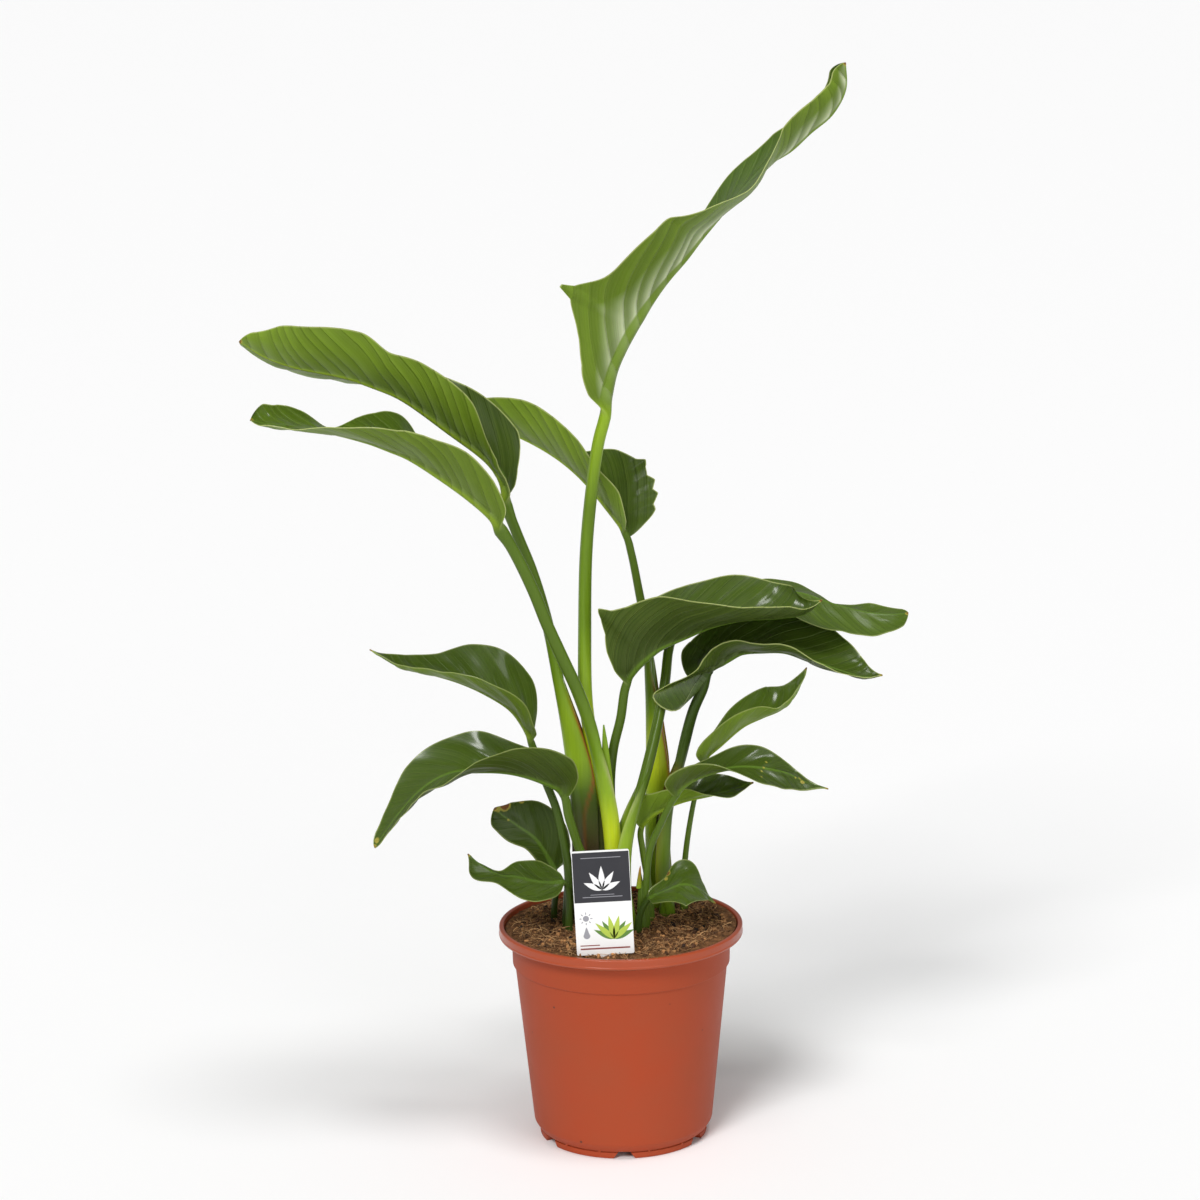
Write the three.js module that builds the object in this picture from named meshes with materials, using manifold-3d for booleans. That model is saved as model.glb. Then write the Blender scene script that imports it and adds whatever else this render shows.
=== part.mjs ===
// A young giant white bird of paradise in a round plastic nursery pot. Millimetres, +Z up, front towards -Y.
// The pot, its soil, a stiff care tag and each of the fifteen leaves are pieces of their own. While the plant
// is built, x = y = 0 is the pot's axis; the last lines move everything so that the origin is under the middle.

import * as THREE from 'three';
import { mergeVertices } from 'three/addons/utils/BufferGeometryUtils.js';
import Module from 'manifold-3d';

const wasm = await Module();
wasm.setup();

// Pot: a 19 cm nursery pot.
const RIM_RADIUS = 95;
const POT_HEIGHT = 170;
const RIM_BAND = 8;
const COLLAR_RADIUS = 85.2;
const STEP_HEIGHT = 139.6;
const BODY_RADIUS_TOP = 82.8;
const BODY_RADIUS_LOW = 70;
const CHAMFER_TOP = 12;
const CHAMFER_LOW = 6;
const FOOT_RADIUS = 65.5;
const FOOT_WALL = 6;
const WALL = 2.2;
const FLOOR_TOP = 8.5;
const POT_SIDES = 44;
const NOTCHES = 6;
const NOTCH_WIDTH_TOP = 9;
const NOTCH_WIDTH_LOW = 19;
const DRAIN_RADIUS = 5;
const DRAIN_CIRCLE = 44;
const PEG_RADIUS = 1.4;
const PEG_ANGLES = [17, 43];
const PEG_SIDES = 6;
const HOLE_SIDES = 12;

// Soil: fills the pot to just under the rim, a little higher in the middle and at the right.
const GAP = 0.4;
const SOIL_EDGE = 166.4;
const SOIL_CROWN = 3;
const SOIL_RIGHT_RISE = 2;
const SOIL_BACK_DIP = 0.6;
const SOIL_LUMPS = 0.5;
const SOIL_RINGS = [90, 76, 62, 46, 28, 12];
const STEM_FOOT = 142;
const STEM_FOOT_SWELL = 1.24;

// Care tag: a stiff card with a narrow foot in the soil.
const TAG_WIDTH = 43.5;
const TAG_HEIGHT = 82;
const TAG_THICKNESS = 1;
const TAG_CORNER = 1.5;
const TAG_FOOT_WIDTH = 15;
const TAG_FOOT_DEPTH = 20;
const TAG_PLACE = [-12, -76, 169];
const TAG_LEAN = THREE.MathUtils.degToRad(-2.3);

// Leaves. The stalk of a leaf runs from its foot in the soil through the stalk points to the first blade row.
// A blade row is a point of the midrib, then how far the front margin rises above it and spreads out from it,
// and the same for the back margin. Lean is -1 for a leaf that leans left and 1 for one that leans right. Up is
// the side that the upper face looks to, girth the stalk's radius at the foot and at the blade, and sheath how
// high the clasping foot reaches above the soil, how deep it is and its half width. Ears are how far the
// blade's base is swept back. The blade opens over the shoulder and closes over the taper, as shares of its
// length.
const BLADE_THICKNESS = 1;
const CUP = 0.16;
const SHOULDER = 0.1;
const TAPER = 0.12;
const KEEL = 0.8;
const SHEATH_WALL = 0.9;
const CHANNEL = 0.35;
const STALK_TOP = 0.65;
const STALK_BELOW = 1.2;
const STALK_STEP = 2;
const EAR_SHARE = 0.3;
const LEFTWARDS = { lean: -1, up: [0.5, 0, 1] };
const RIGHTWARDS = { lean: 1, up: [-0.5, 0, 1] };
const LEAVES = [
  {
    name: 'leaf_01', lean: 1, up: [-0.8, -0.1, 0.6], girth: [6.5, 5], taper: 0.05, large: true,
    foot: [-16, 13],
    stalk: [[-19, 12, 206], [-22, 12, 247], [-25, 12, 300], [-27, 14, 344], [-26, 18, 400], [-24, 18, 460],
      [-19, 17, 509], [-13, 16, 547]],
    blade: [[-6, 16, 572, 14, 8, 10, 10], [0, 16, 600, 26, 12, 18, 20], [7, 16, 616, 37, 14, 26, 32],
      [14, 16, 633, 50, 16, 30, 40], [18, 16, 641, 62, 19, 28, 43], [26, 16, 654, 45, 26, 24, 46],
      [37, 16, 669, 39, 36, 18, 50], [53, 17, 687, 38, 48, 14, 54], [65, 18, 700, 40, 54, 3, 54],
      [79, 18, 714, 28, 58, 0, 56], [100, 20, 731, 19, 56, 10, 52], [120, 22, 750, 12, 48, 8, 44],
      [135, 24, 764, 16, 36, 10, 34], [150, 26, 777, 20, 26, 10, 26], [167, 27, 790, 21, 19, 12, 20],
      [176, 28, 801, 21, 14, 15, 14], [177, 28, 814, 17, 12, 12, 12], [173, 28, 828, 6, 8, 5, 8]],
  },
  {
    name: 'leaf_02', ...LEFTWARDS, girth: [6.5, 4.4], sheath: [220, 19, 8.2], large: true, taper: 0.06,
    foot: [-32, 12],
    stalk: [[-34, 12, 220], [-36, 12, 266], [-38, 12, 298], [-40, 12, 330], [-44, 12, 362], [-49, 12, 394],
      [-55, 12, 421], [-63, 11, 449], [-73, 10, 476]],
    blade: [[-81, 8, 500, 3, 14, 10, 10], [-85, 6, 520, 3, 20, 17, 12], [-94, 5, 534, 15, 30, 28, 18],
      [-125, 3, 559, 36, 26, 37, 16], [-160, 0, 585, 36, 24, 20, 32], [-199, -2, 601, 39, 20, -8, 40],
      [-241, -5, 611, 33, 18, -10, 32], [-262, -6, 616, 25, 10, -8, 18], [-281, -8, 634, 2, 4, 1, 4]],
  },
  {
    name: 'leaf_03', lean: -1, up: [0.5, 0.3, 1], girth: [6, 4.6], sheath: [150, 9, 6.4], taper: 0.06, large: true,
    foot: [-7, -8],
    stalk: [[-7, -8, 200], [-8, -8, 230], [-10, -8, 262], [-14, -9, 294], [-21, -10, 326], [-30, -12, 358],
      [-42, -14, 389], [-52, -16, 413], [-62, -18, 440], [-75, -20, 469]],
    blade: [[-85, -22, 487, 3, 10, 8, 14], [-93, -23, 498, 14, 20, 12, 24], [-108, -25, 512, 23, 28, 15, 30],
      [-130, -28, 529, 24, 34, 19, 34], [-154, -30, 545, 20, 38, 21, 38], [-183, -31, 557, 13, 42, 20, 38],
      [-211, -33, 565, 5, 38, 6, 22], [-236, -34, 570, 0, 30, 13, 28], [-253, -36, 572, 0, 22, 16, 22],
      [-261, -36, 574, 0, 16, 13, 16], [-270, -37, 579, 0, 9, 8, 9]],
  },
  {
    name: 'leaf_04', lean: -1, up: [0.4, 0, 1], girth: [6, 3.2], sheath: [230, 16, 7], ears: [0, 20],
    foot: [27, 37],
    stalk: [[27, 37, 220], [28, 38, 293], [28, 41, 347], [25, 46, 385], [19, 48, 423], [13, 47, 455]],
    blade: [[9, 46, 469, 6, 12, 24, 20], [-7, 50, 491, 18, 18, 40, 24], [-23, 54, 510, 20, 26, 32, 30],
      [-39, 58, 524, 26, 28, 20, 34], [-58, 62, 536, 30, 26, 18, 34], [-80, 66, 546, 30, 24, 18, 32],
      [-108, 70, 554, 20, 16, 12, 20], [-136, 72, 557, 2, 4, 2, 4]],
  },
  {
    name: 'leaf_05', ...RIGHTWARDS, girth: [5, 3.8], ears: [2, 0], large: true,
    foot: [3, 10],
    stalk: [[-4, 9, 220], [-8, 10, 274], [-5, 9, 307], [1, 7, 332]],
    blade: [[6, 4, 360, 8, 8, 6, 14], [13, 2, 371, 22, 12, 16, 24], [22, 0, 380, 45, 14, 22, 34],
      [32, 0, 388, 40, 20, 27, 40], [52, 0, 397, 42, 34, 29, 42], [72, 0, 405, 30, 45, 27, 42],
      [96, 0, 410, 18, 42, 28, 38], [125, 1, 411, 14, 28, 22, 26], [145, 2, 414, 8, 14, 12, 12],
      [157, 3, 424, 1, 2, 1, 2]],
  },
  {
    name: 'leaf_06', ...RIGHTWARDS, girth: [5.2, 3.6], sheath: [110, 9, 5.6],
    foot: [10, -9],
    stalk: [[9, -9, 200], [9, -9, 222], [12, -8, 260], [20, -4, 291], [27, 1, 315], [33, 8, 338], [37, 20, 358],
      [40, 36, 378], [45, 50, 390]],
    blade: [[52, 58, 398, 4, 20, 2, 20], [80, 60, 410, 0, 36, 2, 34], [112, 60, 419, -8, 38, 2, 36],
      [142, 60, 418, -12, 36, 2, 32], [172, 58, 408, -12, 32, 2, 26], [200, 56, 400, -8, 22, 2, 16],
      [228, 54, 399, 0, 4, 0, 3]],
  },
  {
    name: 'leaf_07', ...RIGHTWARDS, girth: [5.5, 3.8], sheath: [150, 8, 6], ears: [62, 18],
    shoulder: 0.04, large: true,
    foot: [38, 17],
    stalk: [[38, 17, 222], [42, 19, 262], [49, 21, 290], [59, 21, 333], [65, 20, 352]],
    blade: [[69, 19, 366, -6, 20, 10, 20], [75, 19, 370, -16, 26, 16, 26], [80, 19, 372, -22, 26, 18, 30],
      [86, 20, 374, -3, 24, 21, 32], [96, 20, 377, 14, 27, 22, 36], [112, 20, 377, 11, 30, 24, 38],
      [130, 20, 376, 13, 28, 26, 38], [150, 20, 369, 8, 26, 28, 34], [174, 20, 362, 5, 18, 20, 24],
      [192, 20, 357, 4, 10, 10, 12], [205, 20, 360, 0, 2, 0, 2]],
  },
  {
    name: 'leaf_08', ...RIGHTWARDS, girth: [3, 1.9], ears: [10, 4],
    foot: [50, 28],
    stalk: [[49, 26, 191], [51, 22, 218], [54, 19, 241], [58, 17, 263], [63, 15, 283]],
    blade: [[67, 15, 296, 8, 10, 8, 8], [80, 15, 305, 14, 14, 12, 14], [98, 15, 319, 15, 18, 17, 18],
      [112, 15, 327, 13, 18, 16, 20], [126, 15, 335, 6, 16, 17, 16], [137, 15, 346, 3, 9, 10, 10],
      [146, 15, 368, 0, 2, 0, 2]],
  },
  {
    name: 'leaf_09', ...RIGHTWARDS, girth: [3.4, 2.8], ears: [6, 4],
    foot: [19, -17],
    stalk: [[19, -17, 200], [22, -17, 232], [31, -19, 255]],
    blade: [[43, -24, 279, 14, 10, 8, 10], [55, -25, 290, 15, 14, 10, 16], [73, -25, 297, 10, 16, 11, 18],
      [90, -25, 300, 1, 20, 12, 18], [102, -25, 300, -4, 20, 13, 18], [115, -25, 298, -7, 20, 11, 14],
      [128, -25, 295, -8, 17, 8, 12], [142, -25, 288, -4, 8, 4, 6], [160, -25, 282, 0, 1, 0, 1]],
  },
  {
    name: 'leaf_10', ...RIGHTWARDS, girth: [3.2, 2.6],
    foot: [23, 4],
    stalk: [[23, 4, 200], [22, 4, 226]],
    blade: [[26, 5, 243, 5, 5, 6, 5], [34, 4, 256, 16, 7, 8, 6], [45, 1, 263, 19, 13, 8, 8],
      [56, -2, 266, 16, 14, 11, 11], [72, -2, 269, 4, 14, 13, 12], [88, -1, 273, -1, 10, 9, 11],
      [104, 0, 281, 0, 1, 0, 1]],
  },
  {
    name: 'leaf_11', ...LEFTWARDS, girth: [4, 3.2],
    foot: [-41, -4],
    stalk: [[-39, -4, 210], [-42, -2, 235], [-48, 3, 262], [-56, 6, 283], [-62, 7, 300]],
    blade: [[-66, 7, 313, 6, 6, 4, 8], [-72, 6, 327, 14, 16, 13, 20], [-82, 5, 341, 18, 24, 24, 26],
      [-101, 4, 354, 17, 30, 31, 24], [-120, 4, 363, 15, 30, 26, 24], [-141, 3, 370, 9, 24, 12, 18],
      [-165, 2, 376, 4, 13, 8, 10], [-189, 0, 391, 0, 1, 0, 1]],
  },
  {
    name: 'leaf_12', ...LEFTWARDS, girth: [4.4, 3.6], ears: [12, 6],
    foot: [-23, -14],
    stalk: [[-26, -14, 220], [-32, -15, 240], [-38, -19, 262]],
    blade: [[-42, -22, 281, 12, 10, 6, 12], [-57, -25, 291, 30, 20, 15, 24], [-81, -26, 299, 28, 28, 21, 26],
      [-107, -27, 301, 17, 33, 27, 24], [-129, -27, 299, 2, 34, 21, 26], [-148, -27, 289, 0, 26, 16, 20],
      [-167, -27, 270, -1, 15, 10, 12], [-190, -27, 239, 0, 1, 0, 1]],
  },
  {
    name: 'leaf_13', lean: -1, up: [0.1, -1, 0.25], girth: [2.8, 2.2],
    foot: [-52, 17],
    stalk: [[-50, 17, 196]],
    blade: [[-51, 16, 207, 0, 8, 0, 12], [-56, 16, 218, 2, 12, 3, 20], [-66, 16, 234, 3, 17, 4, 26],
      [-80, 16, 245, 2, 17, 3, 24], [-94, 16, 254, 1, 12, 1, 10], [-99, 16, 259, 0, 6, 0, 4]],
  },
  {
    name: 'leaf_14', ...LEFTWARDS, girth: [2.8, 2.2],
    foot: [-40, -18],
    stalk: [[-40, -18, 200]],
    blade: [[-42, -19, 208, 0, 8, 3, 8], [-52, -20, 209, -5, 18, 7, 14], [-64, -20, 210, -8, 23, 11, 18],
      [-80, -20, 214, -8, 20, 8, 15], [-93, -20, 216, -3, 9, 1, 6], [-107, -20, 223, 0, 3, 0, 3],
      [-117, -20, 233, 0, 1, 0, 1]],
  },
  {
    name: 'leaf_15', ...RIGHTWARDS, girth: [2.8, 2.2],
    foot: [13, -26],
    stalk: [[15, -26, 185]],
    blade: [[21, -26, 196, -2, 8, 2, 8], [36, -27, 204, -2, 20, 4, 16], [50, -27, 208, -8, 26, 14, 20],
      [62, -27, 203, -3, 18, 7, 14], [73, -27, 192, 0, 1, 0, 1]],
  },
];

// A large leaf is cut finer than a small one: rings along the stalk and the blade, and columns across each
// half, as shares of the way from the midrib's edge to the margin.
const GRADES = {
  large: { stalkRings: 7, bladeRings: 18, columns: [1, 0.72, 0.4] },
  small: { stalkRings: 5, bladeRings: 12, columns: [1, 0.55] },
};

const TERRACOTTA = { color: 0xb05434, roughness: 0.55, metalness: 0 };
const SOIL_BROWN = { color: 0x5a3a26, roughness: 1, metalness: 0 };
const CARD = { color: 0x3a3d45, roughness: 0.45, metalness: 0 };
const LEAF_GREEN = { color: 0x3f6b22, roughness: 0.4, metalness: 0 };
const FRESH_GREEN = { color: 0x6a9a2a, roughness: 0.4, metalness: 0 };

function mesh(name, geometry, finish) {
  const part = new THREE.Mesh(geometry, new THREE.MeshStandardMaterial(finish));
  part.name = name;
  return part;
}

/** The closed solid of a geometry, placed by its matrix. */
function solidOf(geometry, matrix = new THREE.Matrix4()) {
  const bare = geometry.index ? geometry.toNonIndexed() : geometry.clone();
  bare.deleteAttribute('normal');
  bare.deleteAttribute('uv');
  bare.applyMatrix4(matrix);
  const merged = mergeVertices(bare, 1e-4);
  const vertProperties = new Float32Array(merged.attributes.position.array);
  const triVerts = new Uint32Array(merged.index.array);
  return new wasm.Manifold(new wasm.Mesh({ numProp: 3, vertProperties, triVerts }));
}

function geometryOf(solid) {
  const { vertProperties, triVerts } = solid.getMesh();
  const geometry = new THREE.BufferGeometry();
  geometry.setAttribute('position', new THREE.BufferAttribute(new Float32Array(vertProperties), 3));
  geometry.setIndex(new THREE.BufferAttribute(new Uint32Array(triVerts), 1));
  return geometry;
}

/** A turned body from its profile of radius and height, standing along +Z. */
function turned(profile, sides) {
  const points = profile.map(([radius, height]) => new THREE.Vector2(radius, height));
  return new THREE.LatheGeometry(points, sides).rotateX(Math.PI / 2);
}

/** An upright round rod from z = low to z = high. */
function rod(radius, low, high, sides, x, y) {
  const geometry = new THREE.CylinderGeometry(radius, radius, high - low, sides).rotateX(Math.PI / 2);
  return solidOf(geometry, new THREE.Matrix4().makeTranslation(x, y, (low + high) / 2));
}

const smoothstep = (from, to, x) => THREE.MathUtils.smoothstep(x, from, to);

// The inside of the pot, from the floor up to the rim: radius and height.
const POT_INSIDE = [
  [BODY_RADIUS_LOW - WALL - 2, FLOOR_TOP],
  [BODY_RADIUS_LOW - WALL, CHAMFER_TOP + 1],
  [BODY_RADIUS_TOP - WALL, STEP_HEIGHT - 2],
  [COLLAR_RADIUS - WALL, STEP_HEIGHT + 2],
  [COLLAR_RADIUS - WALL, POT_HEIGHT - RIM_BAND + 0.6],
  [RIM_RADIUS - 4.6, POT_HEIGHT - RIM_BAND + 2.4],
  [RIM_RADIUS - 3.8, POT_HEIGHT - 0.6],
];

function pot() {
  const outside = [
    [RIM_RADIUS - 3.2, POT_HEIGHT],
    [RIM_RADIUS - 0.8, POT_HEIGHT],
    [RIM_RADIUS, POT_HEIGHT - 1],
    [RIM_RADIUS - 0.4, POT_HEIGHT - RIM_BAND],
    [COLLAR_RADIUS, POT_HEIGHT - RIM_BAND],
    [COLLAR_RADIUS - 0.8, STEP_HEIGHT],
    [BODY_RADIUS_TOP, STEP_HEIGHT - 0.8],
    [BODY_RADIUS_LOW, CHAMFER_TOP],
    [FOOT_RADIUS + 0.8, CHAMFER_LOW],
    [FOOT_RADIUS, 0],
    [FOOT_RADIUS - FOOT_WALL, 0],
    [FOOT_RADIUS - FOOT_WALL - 0.5, CHAMFER_LOW],
    [0, CHAMFER_LOW],
  ];
  const profile = [[0, FLOOR_TOP], ...POT_INSIDE, ...outside].reverse();
  let body = solidOf(turned(profile, POT_SIDES));

  const notch = new THREE.Shape([
    new THREE.Vector2(-NOTCH_WIDTH_LOW / 2, -1),
    new THREE.Vector2(NOTCH_WIDTH_LOW / 2, -1),
    new THREE.Vector2(NOTCH_WIDTH_TOP / 2, CHAMFER_LOW - 0.5),
    new THREE.Vector2(-NOTCH_WIDTH_TOP / 2, CHAMFER_LOW - 0.5),
  ]);
  const notchBar = new THREE.ExtrudeGeometry(notch, { depth: 2 * FOOT_WALL + 4, bevelEnabled: false });
  notchBar.rotateX(Math.PI / 2).translate(0, -FOOT_RADIUS + FOOT_WALL + 6, 0);
  for (let i = 0; i < NOTCHES; i += 1) {
    const turn = (i * 2 * Math.PI) / NOTCHES;
    body = body.subtract(solidOf(notchBar, new THREE.Matrix4().makeRotationZ(turn)));
    const drain = turn + Math.PI / NOTCHES;
    const [x, y] = [DRAIN_CIRCLE * Math.sin(drain), -DRAIN_CIRCLE * Math.cos(drain)];
    body = body.subtract(rod(DRAIN_RADIUS, CHAMFER_LOW - 2, FLOOR_TOP + 2, HOLE_SIDES, x, y));
    for (const degrees of PEG_ANGLES) {
      const angle = turn + THREE.MathUtils.degToRad(degrees);
      const reach = FOOT_RADIUS + 0.6;
      const [px, py] = [reach * Math.sin(angle), -reach * Math.cos(angle)];
      body = body.add(rod(PEG_RADIUS, PEG_RADIUS, CHAMFER_LOW + 2, PEG_SIDES, px, py));
    }
  }
  return mesh('pot', geometryOf(body), TERRACOTTA);
}

/** Height of the soil's surface: a low crown, higher at the right, lower at the back left, a little lumpy. */
function soilHeight(x, y) {
  const span = RIM_RADIUS;
  const crown = SOIL_CROWN * Math.max(0, 1 - (x * x + y * y) / (span * span));
  const right = SOIL_RIGHT_RISE * smoothstep(0, 80, x);
  const dip = SOIL_BACK_DIP * smoothstep(30, 90, y - x);
  const lumps = SOIL_LUMPS * Math.sin(x / 7 + 1) * Math.sin(y / 6);
  return SOIL_EDGE + crown + right - dip + lumps;
}

function soil() {
  const wall = POT_INSIDE.slice(0, 6).map(([radius, height]) => [radius - GAP, height + GAP]);
  const top = SOIL_RINGS.map((radius) => [radius, SOIL_EDGE]);
  const profile = [[0, FLOOR_TOP + GAP], ...wall, ...top, [0, SOIL_EDGE]];
  const geometry = turned(profile, POT_SIDES);
  const position = geometry.attributes.position;
  for (let i = 0; i < position.count; i += 1) {
    if (Math.abs(position.getZ(i) - SOIL_EDGE) < 0.01) {
      position.setZ(i, soilHeight(position.getX(i), position.getY(i)));
    }
  }
  let body = solidOf(geometry);
  for (const leaf of LEAVES) {
    const bore = leaf.girth[0] * STEM_FOOT_SWELL + GAP;
    body = body.subtract(rod(bore, STEM_FOOT - GAP, POT_HEIGHT + 20, HOLE_SIDES, ...leaf.foot));
  }
  const [x, y, z] = TAG_PLACE;
  const slot = new THREE.BoxGeometry(
    TAG_FOOT_WIDTH + 2 * GAP,
    TAG_THICKNESS + 2 * GAP,
    2 * (TAG_FOOT_DEPTH + GAP),
  );
  const placed = new THREE.Matrix4().makeRotationY(TAG_LEAN).setPosition(x, y, z);
  body = body.subtract(solidOf(slot, placed));
  return mesh('soil', geometryOf(body), SOIL_BROWN);
}

/** The care tag: a card with round corners, and a pointed foot below it that stands in the soil. */
function tag() {
  const [w, h, r] = [TAG_WIDTH / 2, TAG_HEIGHT, TAG_CORNER];
  const f = TAG_FOOT_WIDTH / 2;
  const outline = new THREE.Shape();
  outline.moveTo(-w, r);
  outline.absarc(-w + r, r, r, Math.PI, 1.5 * Math.PI);
  outline.lineTo(-f, 0);
  outline.lineTo(-f, -TAG_FOOT_DEPTH + f);
  outline.lineTo(0, -TAG_FOOT_DEPTH);
  outline.lineTo(f, -TAG_FOOT_DEPTH + f);
  outline.lineTo(f, 0);
  outline.absarc(w - r, r, r, 1.5 * Math.PI, 2 * Math.PI);
  outline.absarc(w - r, h - r, r, 0, 0.5 * Math.PI);
  outline.absarc(-w + r, h - r, r, 0.5 * Math.PI, Math.PI);
  const card = new THREE.ExtrudeGeometry(outline, {
    depth: TAG_THICKNESS,
    bevelEnabled: false,
    curveSegments: 4,
  });
  card.rotateX(Math.PI / 2).translate(0, TAG_THICKNESS / 2, 0);
  const part = mesh('tag', card, CARD);
  part.rotation.y = TAG_LEAN;
  part.position.set(...TAG_PLACE);
  return part;
}

/** The centre line of a leaf, read by distance from the foot. */
function leafLine(leaf) {
  const [x, y] = leaf.foot;
  const stalk = [[x, y, STEM_FOOT], [x, y, POT_HEIGHT + 3], ...leaf.stalk];
  const points = [...stalk, ...leaf.blade].map(([px, py, pz]) => new THREE.Vector3(px, py, pz));
  const curve = new THREE.CatmullRomCurve3(points, false, 'centripetal');
  const spans = points.length - 1;
  const stepsPerSpan = 60;
  curve.arcLengthDivisions = spans * stepsPerSpan;
  const lengths = curve.getLengths();
  const length = lengths[lengths.length - 1];
  const neck = lengths[stalk.length * stepsPerSpan];
  const rows = leaf.blade.map((row, i) => (lengths[(stalk.length + i) * stepsPerSpan] - neck) / (length - neck));
  const at = (distance) => curve.getPointAt(THREE.MathUtils.clamp(distance / length, 0, 1));
  return { at, length, neck, rows };
}

/** Where a share of the blade's length falls between its rows, from 0 at the first to 1 at the last. */
function rowPlace(rows, share) {
  let i = 0;
  while (i < rows.length - 2 && share > rows[i + 1]) {
    i += 1;
  }
  const within = (share - rows[i]) / (rows[i + 1] - rows[i]);
  return (i + THREE.MathUtils.clamp(within, 0, 1)) / (rows.length - 1);
}

/**
 * One side of a leaf's section: a point at the given share of the way out from the middle, as rise and spread,
 * and the direction in which the surface runs out there.
 */
function bladePoint(rise, spread, u) {
  const bend = [0.5 * rise - CUP * spread, 0.5 * spread + CUP * rise];
  const point = [
    2 * u * (1 - u) * bend[0] + u * u * rise,
    2 * u * (1 - u) * bend[1] + u * u * spread,
  ];
  const run = [
    (1 - 2 * u) * bend[0] + u * rise,
    (1 - 2 * u) * bend[1] + u * spread,
  ];
  return { point, run };
}

/** The same for the stalk, a channelled rod that opens downwards into a clasping sheath, half an ellipse. */
function stalkPoint(radius, sheath, wrap, turn) {
  const [, depth, halfWidth] = sheath;
  const width = THREE.MathUtils.lerp(radius, halfWidth, wrap);
  const least = 0.02;
  return {
    point: [depth * wrap * (1 - Math.cos(turn)), width * Math.sin(turn)],
    run: [depth * wrap * Math.sin(turn), width * (Math.cos(turn) + least)],
  };
}

/** The upper and lower points of one ring of a leaf's skin, from the front margin to the back one. */
function leafRing(leaf, line, distance, columns) {
  const { at, length, neck, rows } = line;
  const share = THREE.MathUtils.clamp((distance - neck) / (length - neck), 0, 1);
  const centre = at(distance);
  const tangent = at(distance + STALK_STEP).sub(at(distance - STALK_STEP)).normalize();
  const up = new THREE.Vector3(...leaf.up);
  up.addScaledVector(tangent, -up.dot(tangent)).normalize();
  const front = tangent.clone().cross(up).multiplyScalar(leaf.lean);

  const { shoulder = SHOULDER, taper = TAPER, sheath = [1, 0, 0], ears = [0, 0] } = leaf;
  const opening = Math.sqrt(1 - (1 - Math.min(share / shoulder, 1)) ** 2);
  const closing = (1 - Math.max(0, (share - 1 + taper) / taper) ** 2) ** 0.65;
  const fullness = opening * closing;

  const [footRadius, neckRadius] = leaf.girth;
  const onStalk = Math.min(distance / neck, 1);
  const radius = distance < neck
    ? footRadius + (neckRadius - footRadius) * onStalk
    : neckRadius * (1 - 0.85 * share ** 0.8);
  const overSoil = centre.z - SOIL_EDGE;
  const wrapped = leaf.sheath && distance < neck
    ? (1 - smoothstep(0.35, 1, overSoil / sheath[0])) * smoothstep(4, 34, overSoil)
    : 0;
  const roundFoot = 1 - smoothstep(8, 44, overSoil);
  const flat = smoothstep(0, 0.05, share);

  const ring = [];
  const sides = [
    { rows: leaf.blade.map((row) => [row[3], row[4]]), out: front, ear: 0 },
    { rows: leaf.blade.map((row) => [row[5], row[6]]), out: front.clone().negate(), ear: 1 },
  ];
  const place = rowPlace(rows, share);
  sides.forEach((side, sideIndex) => {
    const margin = new THREE.SplineCurve(side.rows.map(([rise, spread]) => new THREE.Vector2(rise, spread)));
    const reach = margin.getPoint(place).multiplyScalar(fullness);
    const least = radius * 1.01;
    if (reach.length() < least) {
      reach.copy(margin.getPoint(place)).setLength(least);
    }
    const edge = Math.min(radius / reach.length(), 0.93);
    const outward = [...columns.map((c) => edge + (1 - edge) * c), edge, 0];
    const order = sideIndex === 0 ? outward : outward.slice(0, -1).reverse();
    order.forEach((u, k) => {
      const step = sideIndex === 0 ? outward.length - 1 - k : k + 1;
      const turn = (Math.PI / 2) * (step / (outward.length - 1));
      const blade = bladePoint(reach.x, reach.y, u);
      const stalk = stalkPoint(radius, sheath, wrapped, turn);
      const [rise, spread] = blade.point.map((v, i) => THREE.MathUtils.lerp(stalk.point[i], v, flat));
      const bladeRun = new THREE.Vector2(...blade.run).normalize();
      const run = new THREE.Vector2(...stalk.run).lerp(bladeRun, flat).normalize();
      const middle = step === 0;
      const normal = middle
        ? up.clone()
        : up.clone().multiplyScalar(run.y).addScaledVector(side.out, -run.x);
      const round = Math.cos(turn);
      const dish = middle ? CHANNEL : STALK_TOP * round;
      const stalkTop = radius * (1 - wrapped) * THREE.MathUtils.lerp(dish, 1.05 * round, roundFoot) + 0.15;
      const sheathWall = SHEATH_WALL + 0.5 * radius * round;
      const stalkBelow = Math.max(0.5, THREE.MathUtils.lerp(STALK_BELOW * radius * round, sheathWall, wrapped));
      const keel = middle ? KEEL * radius : Number(step === 1) * 0.4 * radius;
      const above = THREE.MathUtils.lerp(stalkTop, BLADE_THICKNESS / 2, flat);
      const below = THREE.MathUtils.lerp(stalkBelow, BLADE_THICKNESS / 2 + keel, flat);
      const swept = ears[side.ear] * (u * Math.max(0, 1 - share / EAR_SHARE)) ** 1.5 * opening;
      const point = centre.clone()
        .addScaledVector(up, rise)
        .addScaledVector(side.out, spread)
        .addScaledVector(tangent, distance > neck ? -swept : 0);
      ring.push({
        top: point.clone().addScaledVector(normal, above),
        bottom: point.clone().addScaledVector(normal, -below),
      });
    });
  });
  return ring;
}

/** Where along the blade a ring goes: closer together towards the base and the tip. */
function ringPlace(step) {
  return THREE.MathUtils.lerp(step, (1 - Math.cos(Math.PI * step)) / 2, 0.6);
}

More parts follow.
